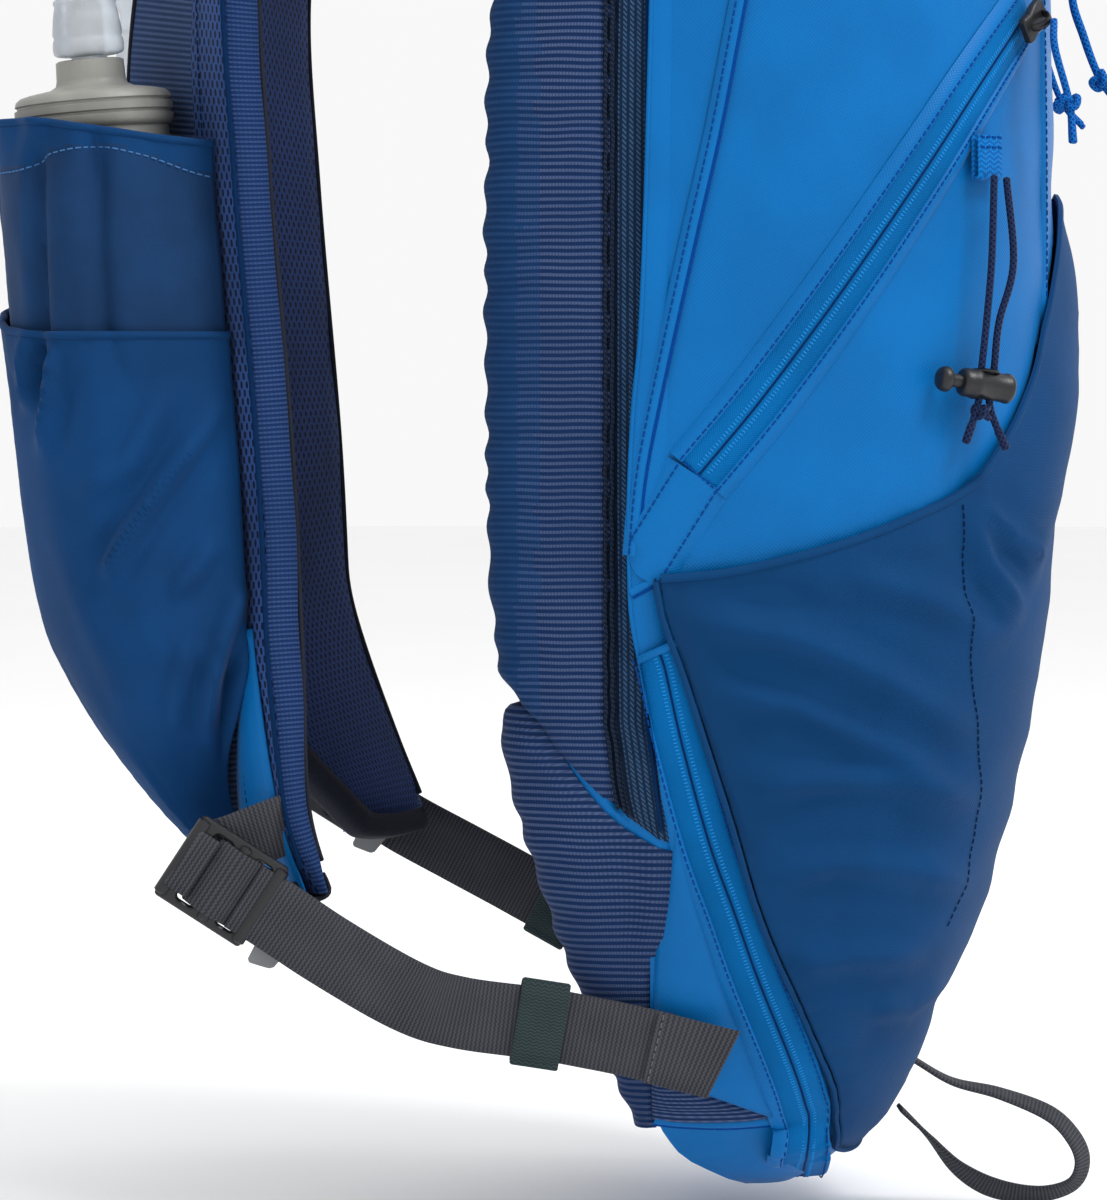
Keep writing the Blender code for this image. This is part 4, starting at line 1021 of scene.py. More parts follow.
FRONT_SEAM_ANGLE, FRONT_SEAM_LOW, FRONT_SEAM_TALL = 1.22, 0.235, 0.105


def front_seams():
    """Long seams on the bag's front, between the stretch pocket's hem and the lid."""
    heights = [FRONT_SEAM_LOW + FRONT_SEAM_TALL * k / 30 for k in range(31)]
    for tag, side, _ in SIDES:
        centre, facing = unzip([hull_point(FRONT_SEAM_ANGLE, z, 0.0003, side) for z in heights])
        welt(f"front_seam_{tag}", centre, facing, SHELL)
        stitch(f"front_stitches_{tag}", centre, facing, THREAD_AND_SHADE_BLUE, 0.0014, 0.0008)


# ---- Zips -----------------------------------------------------------------------------------
def zip_run(name, centre, facing, half, body, node, lips=(-1, 1)):
    """A reverse-coil zip: woven tape, a parting line painted dark as its shade, light tooth marks and
    stitched edges.
    """
    tape = [(-half, -0.0004), (-half * 0.9, 0.0002), (-0.0030, 0.0005), (-0.0009, 0.0008),
            (-0.0002, 0.0002), (0.0002, 0.0002), (0.0009, 0.0008), (0.0030, 0.0005),
            (half * 0.9, 0.0002), (half, -0.0004)]
    piece = behind_seam(strip(name, centre, facing, tape, [SHELL_TAPE], closed=False))
    wear(thicken(piece), body, [node], "zip_tape")
    # Painted shade: a dark strip along the parting line.
    gap = [(-0.0004, 0.0002), (-0.00026, 0.00088), (0.00026, 0.00088), (0.0004, 0.0002)]
    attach(strip(name + "_gap", centre, facing, gap, [COIL_GAP_SHADE], closed=False), body)
    for k, sign in enumerate((-1, 1)):
        spots = along_path(centre, facing, 0.00105, sign * 0.0016, 0.0008, across=True,
                           start=0.002)
        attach(dashes(f"{name}_teeth_{k}", spots, THREAD_LIGHT, TOOTH), body)
        if sign in lips:
            edge = [(sign * (half - 0.0006), 0.0002), (sign * (half - 0.0002), 0.0008),
                    (sign * (half + 0.0008), 0.0010), (sign * (half + 0.0022), 0.0007),
                    (sign * (half + 0.0040), -0.0010)]
            lip = strip(f"{name}_lip_{k}", centre, facing, edge[::sign], [SHELL], closed=False)
            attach(behind_seam(lip), body)
        stitch(f"{name}_stitches_{k}", centre, facing, THREAD_AND_SHADE_BLUE,
               sign * (half + (0.0004 if sign in lips else -0.0012)), 0.0011, body)


def side_zip(tag, side):
    centre, facing = on_side(SIDE_ZIP, 0.0010, side, 110)
    zip_run(f"side_zip_run_{tag}", centre, facing, 0.0062, "pack", f"side_zip_{tag}")
    line = ((0.0129, 0.2041), (0.0075, 0.1955), (-0.0040, 0.1772))
    centre, facing = on_side(line, 0.0013, side, 30)
    section = [(-0.0100, -0.0012), (-0.0076, 0.0001), (-0.0064, 0.0006), (0.0, 0.0007),
               (0.0064, 0.0006), (0.0076, 0.0001), (0.0100, -0.0012)]
    band_piece = strip(f"garage_{tag}", centre, facing, section, [SHELL], closed=False)
    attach(behind_seam(band_piece), "pack")
    for k, aside in enumerate((-0.0064, 0.0064)):
        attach(behind_seam(stitch(f"garage_stitches_{k}_{tag}", centre, facing, THREAD_AND_SHADE_BLUE,
                                   aside, 0.0009)), "pack")
    place, way, up = along_path(*on_side(SIDE_ZIP, 0.0018, side, 60), 0.0016, start=-0.0006)[0]
    across = up.cross(way).normalized()
    spots = [(place + across * (0.0016 * k), across, up) for k in range(-3, 4)]
    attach(dashes(f"side_zip_tack_{tag}", spots, THREAD_AND_SHADE_BLUE, END_TACK), "pack")


def lower_zip():
    """Down the left side, under the bag and up the right side, as one run."""
    runs = []
    for side in (1, -1):
        centre, facing = on_side(LOWER_ZIP, 0.0016, side, 90)
        runs.append(list(zip(centre, facing)))
    under = []
    for x, z, lean in ((0.064, 0.0075, 0.9), (0.053, -0.0025, 0.5), (0.035, -0.0058, 0.15),
                       (0.0, -0.0062, 0.0)):
        under.append((Vector((x, 0.0445, z)), Vector((lean, 0, -1)).normalized()))
    back = [(Vector((-p.x, p.y, p.z)), Vector((-n.x, n.y, n.z))) for p, n in under[-2::-1]]
    pairs = runs[0] + under + back + runs[1][::-1]
    centre = smooth_path([p for p, _ in pairs[::3]] + [pairs[-1][0]], 260)
    known = [p for p, _ in pairs]
    facing = []
    for point in centre:
        near = sorted(range(len(known)), key=lambda k: (known[k] - point).length)[:2]
        facing.append((pairs[near[0]][1] + pairs[near[1]][1]).normalized())
    zip_run("lower_zip_run", centre, facing, 0.0072, "pack", "lower_zip", lips=(-1,))
    place, normal = hull_at(0.0052, 0.1475, SLIDER_OUT, -1)
    low, _ = hull_at(0.0110, 0.1220, SLIDER_OUT, -1)
    slider("lower_slider", place, slider_axes(place, low, normal), "lower_zip_slider",
           "lower_zip_slider")
    top, up = centre[0], facing[0]
    way = tangents(centre)[0]
    cover = [top - way * 0.0010, top + way * 0.0012]
    flap = [(-0.0098, -0.0006), (-0.0085, 0.0011), (0.0085, 0.0011), (0.0098, -0.0006)]
    flap_piece = strip("lower_zip_top", cover, [up] * 2, flap, [SHELL], closed=False)
    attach(thicken(behind_seam(flap_piece), 0.0007), "pack")


def lid_zips():
    """Both tapes of the lid's zip with their tooth marks; each rides on its own side."""
    for name, node, shift, body, sign in (("bag_zip_tape", "main_zip", -0.0042, "pack", -1),
                                          ("lid_zip_tape", "lid_zip", 0.0042, "lid", 1)):
        points = [on_cut(y, shift, 0.0012, 1) for y in MAIN_ZIP_DEPTHS]
        rear = LID_TOP.y + 0.0030 + shift * 1.25
        points += [(Vector((x, rear, 0.4596)), Vector((0, 0, 1)))
                   for x in (0.060, 0.02, -0.02, -0.060)]
        points += [on_cut(y, shift, 0.0012, -1) for y in reversed(MAIN_ZIP_DEPTHS)]
        centre, ups = (smooth_path(values, 170) for values in unzip(points))
        facing = [up.normalized() for up in ups]
        section = [(-0.0035, -0.0004), (-0.0028, 0.0004), (0.0, 0.0006), (0.0028, 0.0004),
                   (0.0035, -0.0004)]
        piece = strip(name, centre, facing, section, [SHELL_TAPE], closed=False)
        wear(thicken(piece), body, [node], "zip_tape")
        spots = along_path(centre, facing, 0.00125, -sign * 0.0022, 0.0006, across=True)
        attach(dashes(name + "_teeth", spots, THREAD_LIGHT, LID_TOOTH), body)
        stitch(name + "_stitches", centre, facing, THREAD_AND_SHADE_BLUE, sign * 0.0026, 0.0005, body)


# ---- Stretch pocket -------------------------------------------------------------------------
HEM = ((0.0075, 0.1767), (0.0934, 0.1781), (0.273, 0.1833), (0.433, 0.1885), (0.576, 0.1937),
       (0.691, 0.1978), (0.788, 0.2030), (0.858, 0.2090), (0.935, 0.2158), (1.06, 0.2303),
       (1.25, 0.258), (1.45, 0.279), (math.pi / 2, 0.284))
SEAM = ((0.0075, 0.1757), (0.0140, 0.1668), (0.042, 0.1511), (0.077, 0.1340), (0.121, 0.1162),
        (0.210, 0.0860), (0.281, 0.0717), (0.395, 0.0562), (0.519, 0.0422), (0.648, 0.0294),
        (0.738, 0.0194), (0.864, 0.0105), (1.10, 0.0085), (math.pi / 2, 0.008))
# Folds: a line of (depth, height) points, half width and height of the ridge
FOLDS = ((((0.010, 0.165), (0.035, 0.161), (0.062, 0.149), (0.095, 0.128)), 0.0052, 0.0028),
         (((0.014, 0.146), (0.040, 0.141), (0.066, 0.128), (0.088, 0.112)), 0.0045, 0.0025),
         (((0.022, 0.119), (0.045, 0.121), (0.070, 0.119), (0.095, 0.109)), 0.0050, 0.0024),
         (((0.030, 0.093), (0.050, 0.097), (0.075, 0.094), (0.092, 0.085)), 0.0048, 0.0021),
         (((0.036, 0.069), (0.055, 0.072), (0.078, 0.067)), 0.0048, 0.0017),
         (((0.050, 0.180), (0.072, 0.171), (0.100, 0.156)), 0.0048, 0.0017),
         (((0.086, 0.196), (0.092, 0.178), (0.104, 0.160)), 0.0034, 0.0022),
         (((0.088, 0.197), (0.098, 0.186), (0.110, 0.178)), 0.0032, 0.0019),
         (((0.060, 0.055), (0.072, 0.052), (0.085, 0.058)), 0.0042, 0.0014))
hem_of, seam_of = smooth_line(HEM), smooth_line(SEAM)


POCKET_GAPE, GAPE_FROM = 0.0064, 0.68


def pocket_out(t, z):
    """How far the pocket's cloth stands off the bag, with its gape and folds."""
    fold = min(t, math.pi - t)
    side = 1 if t < math.pi / 2 else -1
    low, high = seam_of(fold), hem_of(fold)
    rise = min(max((z - low) / (high - low), 0.0), 1.0)
    middle = min(max((fold - 0.75) / 0.8, 0.0), 1.0)
    gape = 0.0
    if rise < 1:
        gape = POCKET_GAPE * middle * math.sin(math.pi * max(rise - GAPE_FROM, 0) / 0.32) ** 1.2
    y = hull_point(t, z)[0].y
    folds = 0.0
    for k, (line, wide, tall) in enumerate(FOLDS):
        gap, share = line_gap(y, z + 0.002 * wander(y * 30, k, side), line)
        ridge = hump(gap, 0.0, wide * 0.8) - 0.35 * hump(gap, wide * 1.9, wide)
        folds += 1.45 * tall * ridge * ease(share, -0.05, 0.25) * ease(1 - share, 0, 0.3)
    folds += 0.0014 * wander(y * 32 + side * 7, z * 24, 2.0)
    folds += 0.0009 * wander(y * 40 - z * 50, z * 80 + y * 30, 7.0 + side)
    edge = ease(rise, 0.0, 0.10) * ease(fold, 0.01, 0.06)
    over = 0.0015 * (1 - ease(fold, 0.15, 0.5))
    pucker = 0.0005 * math.sin(z * 900 + 4 * wander(z * 60)) * (1 - ease(rise, 0.0, 0.10)) * 0.6
    lift = folds * edge * (1 - 0.5 * ease(rise, 0.9, 1.0)) + pucker
    return 0.0018 + over + gape + max(lift, -0.0011)


def front_pocket():
    rows = 96
    first = HEM[0][0]
    half = [first + (math.pi / 2 - first) * (k / 116) ** 1.35 for k in range(117)]
    angles = half + [math.pi - t for t in reversed(half[:-1])]
    grid, hem, hem_up = [], [], []
    for i in range(rows + 1):
        row = []
        for t in angles:
            fold = min(t, math.pi - t)
            z = seam_of(fold) + (hem_of(fold) - seam_of(fold)) * i / rows
            point, normal = hull_point(t, z, pocket_out(t, z))
            row.append(point)
            if i == rows:
                hem.append(point)
                hem_up.append(normal)
        grid.append(row)
    piece = thicken(grid_piece("stretch_pocket", grid, [STRETCH]), STRETCH_THICK)
    wear(piece, "pack", ["front_pocket"], "stretch_fabric")
    section = [(-0.0016, 0.0005), (-0.0012, 0.0009), (-0.0004, 0.0010), (0.0004, 0.0006),
               (0.0006, -0.0005), (-0.0006, -0.0009)]
    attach(strip("pocket_hem", hem, hem_up, section, [STRETCH], closed=True), "pack")
    spots = []
    for t, point, after in zip(angles, grid[0], grid[0][1:]):
        way = (after - point).normalized()
        _, normal = hull_point(t, point.z)
        spots.append((point + normal * 0.0006 - normal.cross(way) * 0.0014, way, normal))
    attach(dashes("pocket_stitches", spots, THREAD_NAVY, TACK), "pack")
    cover = [(-0.0009, -0.0010), (-0.0006, 0.0003), (0.0, 0.0006), (0.0006, 0.0004),
             (0.0009, -0.0008)]
    edge = strip("pocket_edge", [p for p, _, _ in spots], [n for _, _, n in spots], cover,
                 [STRETCH], closed=False)
    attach(edge, "pack")
    dart = ((0.0851, 0.1960), (0.0857, 0.1829), (0.0870, 0.1660), (0.0887, 0.1480),
            (0.0905, 0.1284), (0.0912, 0.1176), (0.0903, 0.1080), (0.0893, 0.0970),
            (0.0860, 0.0837), (0.0815, 0.0750))
    for tag, side, _ in SIDES:
        centre, facing = [], []
        for p in smooth_path([(y, z, 0) for y, z in dart], 70):
            share = (p.x - back_of(p.y)) / (front_of(p.y) - back_of(p.y))
            t = math.asin(min(max(share, 0.0), 1.0) ** (ROUNDNESS / 2))
            point, normal = hull_point(t, p.y, pocket_out(t, p.y) + 0.0005)
            centre.append(Vector((point.x * side, point.y, point.z)))
            facing.append(Vector((normal.x * side, normal.y, normal.z)))
        stitch(f"dart_stitches_{tag}", centre, facing, THREAD_NAVY, 0.0, 0.0002)


# ---- Side wing and underside ----------------------------------------------------------------
WING = ((0.0234, 0.0325, 0.0345), (0.0297, 0.0144, 0.0337), (0.0344, 0.0040, 0.0325),
        (0.0446, 0.0016, 0.0287), (0.0572, 0.0012, 0.0238), (0.0727, 0.0018, 0.0189),
        (0.0868, 0.0044, 0.0134), (0.1000, 0.0060, 0.0090), (0.1065, 0.0066, 0.0074))
SLIVER = ((0.0212, 0.0010, 0.0345), (0.0234, 0.0006, 0.0335), (0.0262, 0.0005, 0.0235),
          (0.0297, 0.0005, 0.0145), (0.0344, 0.0005, 0.0045), (0.0420, 0.0004, 0.0016))


def patch(name, outline, side, crown, base, material, rows=34, columns=14):
    """A sewn panel on the bag's side from rows of (height, rear edge, front edge)."""
    rear = smooth_line([(z, a) for z, a, _ in outline])
    fore = smooth_line([(z, b) for z, _, b in outline])
    grid = []
    for i in range(rows + 1):
        z = outline[0][0] + (outline[-1][0] - outline[0][0]) * i / rows
        row = []
        for j in range(columns + 1):
            share = j / columns
            y = rear(z) + (fore(z) - rear(z)) * share
            rim = min(share, 1 - share) * columns / 3
            out = base * min(rim, 1.0) + crown * math.sin(math.pi * share) ** 0.7
            row.append(hull_at(y, z, out + 0.0001, side)[0])
        grid.append(row)
    piece = thicken(grid_piece(name, grid, [material]))
    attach(piece, "pack")
    return piece


def wings(tag, side):
    piece = patch(f"wing_{tag}", WING, side, 0.0016, 0.0010, SHELL)
    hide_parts(f"side_wing_{tag}")
    patch(f"mesh_sliver_{tag}", SLIVER, side, 0.0006, 0.0006, RIB_MESH)
    line = ((0.0010, 0.0205), (0.0100, 0.0195), (0.0220, 0.0190), (0.0345, 0.0195))
    centre, facing = on_side(line, 0.0004, side, 30)
    welt(f"under_seam_{tag}", centre, facing, SHELL, width=0.0034)


# ---- Back pads ------------------------------------------------------------------------------
PAD_OUT = ((0.10, 0.040), (0.15, 0.0425), (0.20, 0.045), (0.30, 0.045), (0.36, 0.040),
           (0.40, 0.028), (0.418, 0.014))
LUMBAR_OUT = ((0.018, 0.0035), (0.03, 0.0085), (0.04, 0.0135), (0.06, 0.0205), (0.08, 0.0275),
              (0.098, 0.0335), (0.120, 0.0395), (0.135, 0.0415))
# The line between the two pads: (depth, height)
PAD_SPLIT = ((-0.046, 0.1430), (-0.0397, 0.1376), (-0.029, 0.1240), (-0.0139, 0.1087),
             (0.005, 0.0990))
# Half section of a pad: (share of half width, share of depth), from the binding to the spine
PAD_SECTION = ((1.0, 0.0), (1.0, 0.12), (0.998, 0.25), (0.996, 0.45), (0.985, 0.66),
               (0.955, 0.86), (0.90, 0.975), (0.80, 1.0), (0.62, 0.94), (0.40, 0.76),
               (0.18, 0.60), (0.0, 0.56))
# Zones of a pad, in the order of its materials; the last two are the ribs in painted shade, dimmer
# where the pad turns toward the wearer
RIBS, PAD_EDGE, PUCKER, SHADED_RIBS, DEEP_SHADE_RIBS = range(5)
split_of = smooth_line(PAD_SPLIT)
PAD_WIDEST, PAD_TOP, LUMBAR_LOW = 0.119, 0.417, 0.018


def ripple(z, seed=0.0):
    """Uneven gathers, about 12 mm apart, along the pad's height."""
    wide = math.sin(2 * math.pi * (z / 0.0122 + 0.55 * wander(seed, z * 34)))
    return 0.62 * wide + 0.75 * wander(seed + 4.0, z * 60)


def edge_ahead(z):
    """How far the pads' edge runs forward of the bag's back, low down."""
    return max(rear_edge(z) - 0.0002, 0.0) if z < 0.14 else 0.0


def edge_out(ahead):
    """How far the pads' edge stands out sideways where it runs that far forward."""
    return 0.0024 * ease(ahead, 0.0, 0.002)


def pad_half(z, upper=True):
    """Half width of a pad at a height, a little inside the bag's own."""
    return (min(half_of(z), PAD_WIDEST) if upper else half_of(z)) - 0.0008


def pad_ring(level, upper):
    """One ring of a pad from its right binding round to the left, at a share of its height."""
    half = smooth_path([(x, y, 0) for x, y in PAD_SECTION], 44)
    shares = [(-p.x, p.y) for p in half] + [(p.x, p.y) for p in reversed(half[:-1])]
    depth = smooth_line(PAD_OUT if upper else LUMBAR_OUT)
    ring = []
    for x_share, y_share in shares:
        y_here = -0.044 * y_share
        part = 0.0003 + 0.0022 * math.sin(math.pi * min(max((y_here + 0.040) / 0.045, 0.0), 1.0))
        z_split = split_of(y_here) + (part if upper else -part)
        start, finish = (z_split, PAD_TOP) if upper else (LUMBAR_LOW, z_split)
        z = start + (finish - start) * level
        wide = pad_half(z, upper)
        end = min(level / 0.05, 1.0) if upper else min((1 - level) / 0.06, 1.0)
        deep = depth(z) * (0.80 + 0.20 * math.sqrt(max(1 - (1 - end) ** 2, 0.0)))
        if upper:
            deep *= 1 - 0.5 * ease(level, 0.94, 1.0)
        corner = hump(y_share, 0.93, 0.22) * ease(abs(x_share), 0.6, 0.85)
        gather = 0.0010 * corner * ripple(z)
        if upper:
            pinch = hump(y_share * deep, 0.0108, 0.0026) * ease(abs(x_share), 0.9, 0.97)
            gather -= pinch * (0.0018 + 0.0009 * ripple(z, 3.0))
            gather += 0.0008 * hump(y_share * deep, 0.0050, 0.0030) * ripple(z, 6.0)
        sag = 0.0009 * wander(x_share * 5, z * 20, 1.0) * ease(y_share, 0.2, 0.5)
        out_x = math.copysign(1, x_share) * (1 - ease(y_share, 0.75, 1.0))
        out_y = -ease(y_share, 0.45, 0.95)
        push = gather + sag
        base = 0.0018 if y_share < 0.001 else -0.0006
        ahead = edge_ahead(z)
        base += ahead * (1 - ease(y_share, 0.1, 0.7))
        raised = edge_out(ahead) * (1 - ease(y_share, 0.05, 0.3))
        inset = 0.985 if y_share < 0.001 and ahead < 0.0004 else 1.0
        ring.append(Vector(((wide + raised) * x_share * inset + out_x * push,
                            base - deep * y_share + out_y * push, z)))
    return ring


def back_pads():
    """Ribbed air-mesh pads with a knit binding, a puckered seam and an azure slit between."""
    for name, node, upper, count in (("back_pad_mesh", "back_pad", True, 190),
                                     ("lumbar_pad_mesh", "lumbar_pad", False, 84)):
        rows = [pad_ring(i / count, upper) for i in range(count + 1)]
        rise = 0.0012 if upper else -0.0008
        rows = ([[Vector((p.x * 0.972, p.y * 0.93, p.z + 0.0010)) for p in rows[0]]] + rows
                + [[Vector((p.x * 0.972, p.y * 0.93, p.z + rise)) for p in rows[-1]]])

        def zone(i, j, upper=upper, rows=rows):
            if not upper:
                return RIBS
            depth = -(rows[i][j].y + rows[i][min(j + 1, len(rows[i]) - 1)].y) / 2
            depth += edge_ahead(rows[i][j].z) + 0.0006 * ripple(rows[i][j].z, 3.0)
            aside = abs(rows[i][j].x) > 0.8 * half_of(max(rows[i][j].z, 0.1))
            if aside and depth < 0.0088:
                return PAD_EDGE
            if aside and depth < 0.0122:
                return PUCKER
            # Painted shade: deeper toward the wearer, the ribs take the dimmer copies.
            return DEEP_SHADE_RIBS if depth > 0.0365 else SHADED_RIBS if depth > 0.0310 else RIBS

        piece = grid_piece(name, rows, [RIB_MESH, KNIT, KNIT_DARK, RIB_SHADED, RIB_DEEP_SHADE],
                           wrap=True, caps=True, zone=zone,
                           flow=lambda p: p.z + 0.0004 * wander(p.y * 90, p.z * 60))
        wear(piece, "pack", [node], "pad_mesh")
    slit = []
    for lift in (-0.0080, -0.0035, 0.0, 0.0035, 0.0080):
        row = []
        for p, q in zip(pad_ring(0.0, True), pad_ring(1.0, False)):
            near = p if lift > 0 else q
            inset = 0.0003 + 0.30 * max(-lift, 0.0)
            x = math.copysign(max(abs(near.x) - inset, 0.0), near.x)
            row.append(Vector((x, near.y * 0.988, (p.z + q.z) / 2 + lift)))
        slit.append(row)
    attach(thicken(grid_piece("slit_lining", slit, [SHELL])), "pack")
    pinstripes()


def pinstripes():
    """Raised cords that run beside the puckered seam of the back pad, and a dark outer edge."""
    outer = 2
    cords = ((0.0100, 0.0005, 0.0008, KNIT_DARK), (0.0118, 0.0005, 0.0012, KNIT_DARK),
             (0.0004, 0.0007, 0.0, THREAD_NAVY))
    for tag, side, _ in SIDES:
        for k, (deep, radius, inset, material) in enumerate(cords):
            path = []
            for i in range(150):
                low = split_of(-deep) + 0.0045
                z = low + (0.408 - low) * i / 149
                wide = pad_half(z)
                wobble = 0.0006 * ripple(z, 3.0) if k < outer else 0.0
                ahead = edge_ahead(z)
                if k == outer:
                    wide += edge_out(ahead)
                path.append(Vector((side * (wide - inset * 0.6 - wobble * 0.4),
                                    ahead - deep - 0.0006 + wobble * 0.5, z)))
            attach(tube(f"pad_cord_{k}_{tag}", path, radius, material, 6), "pack")


# ---- Harness straps -------------------------------------------------------------------------
STRAP = (((0.110, -0.0900, 0.088), (0.080, -0.1110, 0.088)),
         ((0.1135, -0.0965, 0.112), (0.062, -0.1270, 0.112)),
         ((0.1135, -0.0995, 0.150), (0.048, -0.1370, 0.150)),
         ((0.1125, -0.1025, 0.210), (0.043, -0.1410, 0.210)),
         ((0.1105, -0.1090, 0.290), (0.041, -0.1470, 0.290)),
         ((0.1070, -0.1120, 0.350), (0.040, -0.1430, 0.350)),
         ((0.1020, -0.1040, 0.400), (0.039, -0.1270, 0.403)),
         ((0.0980, -0.0790, 0.432), (0.038, -0.0890, 0.437)),
         ((0.0920, -0.0440, 0.445), (0.037, -0.0460, 0.449)),
         ((0.0860, -0.0070, 0.438), (0.036, -0.0070, 0.440)))
FLARE, STRAP_THICK, COARSE_WIDE = 0.018, 0.011, 0.021
# Zones of a strap, in the order of its materials
FACE, COARSE, FINE, HEX = range(4)
LATERAL, OUTWARD = Vector((0.876, 0.482, 0.0)), Vector((0.482, -0.876, 0.0))


def mirror(point, side):
    return Vector((point.x * side, point.y, point.z))


def strap_frames(side, count):
    """Edge points of the strap, evenly along it, with the outward normal at each."""
    outer = smooth_path([s[0] for s in STRAP], count)
    inner = smooth_path([s[1] for s in STRAP], count)
    for line in (outer, inner):
        for point in line:
            if side < 0:
                low = min(max((0.17 - point.z) / 0.08, 0.0), 1.0)
                point.y += FLARE * low * low * (3 - 2 * low)
            point.x *= side
    middle = [(a + b) / 2 for a, b in zip(outer, inner)]
    return [(a, b, (a - b).cross(along).normalized() * side)
            for a, b, along in zip(outer, inner, tangents(middle))]


def slim_at(z):
    """Share of the strap's full thickness at a height; its lower end is thinner."""
    return 0.62 + 0.38 * ease(z, 0.092, 0.150)


def strap_section(width):
    """Rounded section: (place from the inner edge, height), and the zone of each point."""
    half, r = STRAP_THICK / 2, 0.0042
    points, zones = [], []
    for k in range(13):
        p = r + (width - 2 * r) * k / 12
        points.append((p, half))
        zones.append(COARSE if width - p < COARSE_WIDE else FACE)
    for k in range(1, 6):
        a = math.pi / 2 - math.pi * k / 6
        points.append((width - r + r * math.cos(a), half * math.sin(a)))
        zones.append(FINE)
    for k in range(13):
        p = width - r - (width - 2 * r) * k / 12
        crown = 0.0012 * (1 - (2 * p / width - 1) ** 2)
        points.append((p, -half - crown))
        zones.append(HEX)
    for k in range(1, 6):
        a = -math.pi / 2 - math.pi * k / 6
        points.append((r + r * math.cos(a), half * math.sin(a)))
        zones.append(FINE)
    return points, zones


def strap(tag, side, word):
    frames = strap_frames(side, 150)
    rows, body = [], "strap_" + word
    for i, (a, b, normal) in enumerate(frames):
        lateral = (a - b).normalized()
        section, zones = strap_section((a - b).length)
        end = (1 - 0.5 * (1 - ease(i, 0, 5))) * slim_at(b.z)
        sway = 0.0006 * wander(a.z * 40, side, 2.0)
        rows.append([b + lateral * p + normal * (q * end + sway) for p, q in section])
    piece = grid_piece(f"strap_{tag}", rows, [STRAP_FACE, COARSE_MESH, FINE_MESH, HEX_MESH],
                       wrap=True, caps=True, zone=lambda i, j: zones[j])
    wear(piece, body, [f"strap_pad_{tag}"], "pad_mesh")
    half = STRAP_THICK / 2
    for name, pick, q, material in (("outer_front", 0, half, THREAD_NAVY),
                                    ("outer_back", 0, -half, BINDING),
                                    ("inner_front", 1, half, BINDING),
                                    ("inner_back", 1, -half, BINDING)):
        path = []
        for a, b, normal in frames[3:]:
            lateral = (a - b).normalized() * (1 if pick == 0 else -1)
            path.append((a, b)[pick] - lateral * 0.0026 + normal * q * 0.98 * slim_at(b.z))
        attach(tube(f"strap_piping_{name}_{tag}", path, 0.00075, material, 8), body)
    seam = [(a - (a - b).normalized() * 0.0215 + normal * (half + 0.0002), normal)
            for a, b, normal in frames[8:]]
    stitch(f"strap_stitches_{tag}", *unzip(seam), THREAD_NAVY, body=body)
    end_binding(tag, body, frames)
    wedge(tag, body, frames)


def end_binding(tag, body, frames):
    """Dark tape bound over the strap's lower end."""
    a, b, normal = frames[0]
    route = [a.lerp(b, share) - Vector((0, 0, drop))
             for share, drop in ((0.08, 0.0), (0.15, 0.0012), (0.5, 0.0022), (0.88, 0.0012))]
    route += [frames[k][1] for k in range(1, 24, 3)]
    path = smooth_path(route, 80)
    middle = frames[6][0].lerp(frames[6][1], 0.5)
    rows = []
    for point, along in zip(path, tangents(path)):
        out = along.cross(normal).normalized()
        if out.dot(point - middle) < 0:
            out = -out
        section = []
        for k in range(11):
            t = math.pi * k / 10
            section.append(point + normal * 0.0046 * math.cos(t)
                           + out * (0.0014 * math.sin(t) ** 0.6 - 0.0055 * abs(math.cos(t)) ** 6))
        rows.append(section)
    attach(thicken(grid_piece(f"strap_binding_{tag}", rows, [BINDING]), 0.0008), body)


def wedge(tag, body, frames):
    """The bright panel that shows beside the pocket at the strap's lower end."""
    rows = []
    for k in range(27):
        a, b, normal = frames[k]
        lateral, share = (a - b).normalized(), k / 26
        wide = 0.033 * (1 - share) ** 0.7 + 0.0006
        rows.append([a - lateral * (0.0034 + 0.006 * share + wide * j / 6)
                     + normal * (STRAP_THICK / 2 * slim_at(b.z) + 0.0006
                                 + 0.0014 * math.sin(math.pi * j / 6)) for j in range(7)])
    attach(thicken(grid_piece(f"strap_wedge_{tag}", rows, [SHELL])), body)


# ---- Flask sleeves --------------------------------------------------------------------------
SLEEVE = ((0.098, 0.010, 0.010), (0.108, 0.016, 0.016), (0.119, 0.022, 0.0225),
          (0.132, 0.0265, 0.0300), (0.146, 0.0295, 0.0365), (0.160, 0.0318, 0.0418),
          (0.180, 0.0320, 0.0460), (0.200, 0.0320, 0.0480), (0.240, 0.0320, 0.0495),
          (0.280, 0.0320, 0.0500), (0.300, 0.0318, 0.0500))
sleeve_wide = smooth_line([(z, w) for z, w, _ in SLEEVE])
sleeve_reach = smooth_line([(z, r) for z, _, r in SLEEVE])
sleeve_stitch = smooth_line([(0.0, 0.2862), (0.3, 0.2920), (0.6, 0.2942), (1.0, 0.2925),
                             (1.4, 0.2880), (2.0, 0.2872), (math.pi, 0.2872)])
SLEEVE_LOW, SLEEVE_UPPER_LOW, SLEEVE_SQUARE, FRAME_STEP = 0.098, 0.232, 2 / 2.8, 0.0005
sleeve_frames = {}


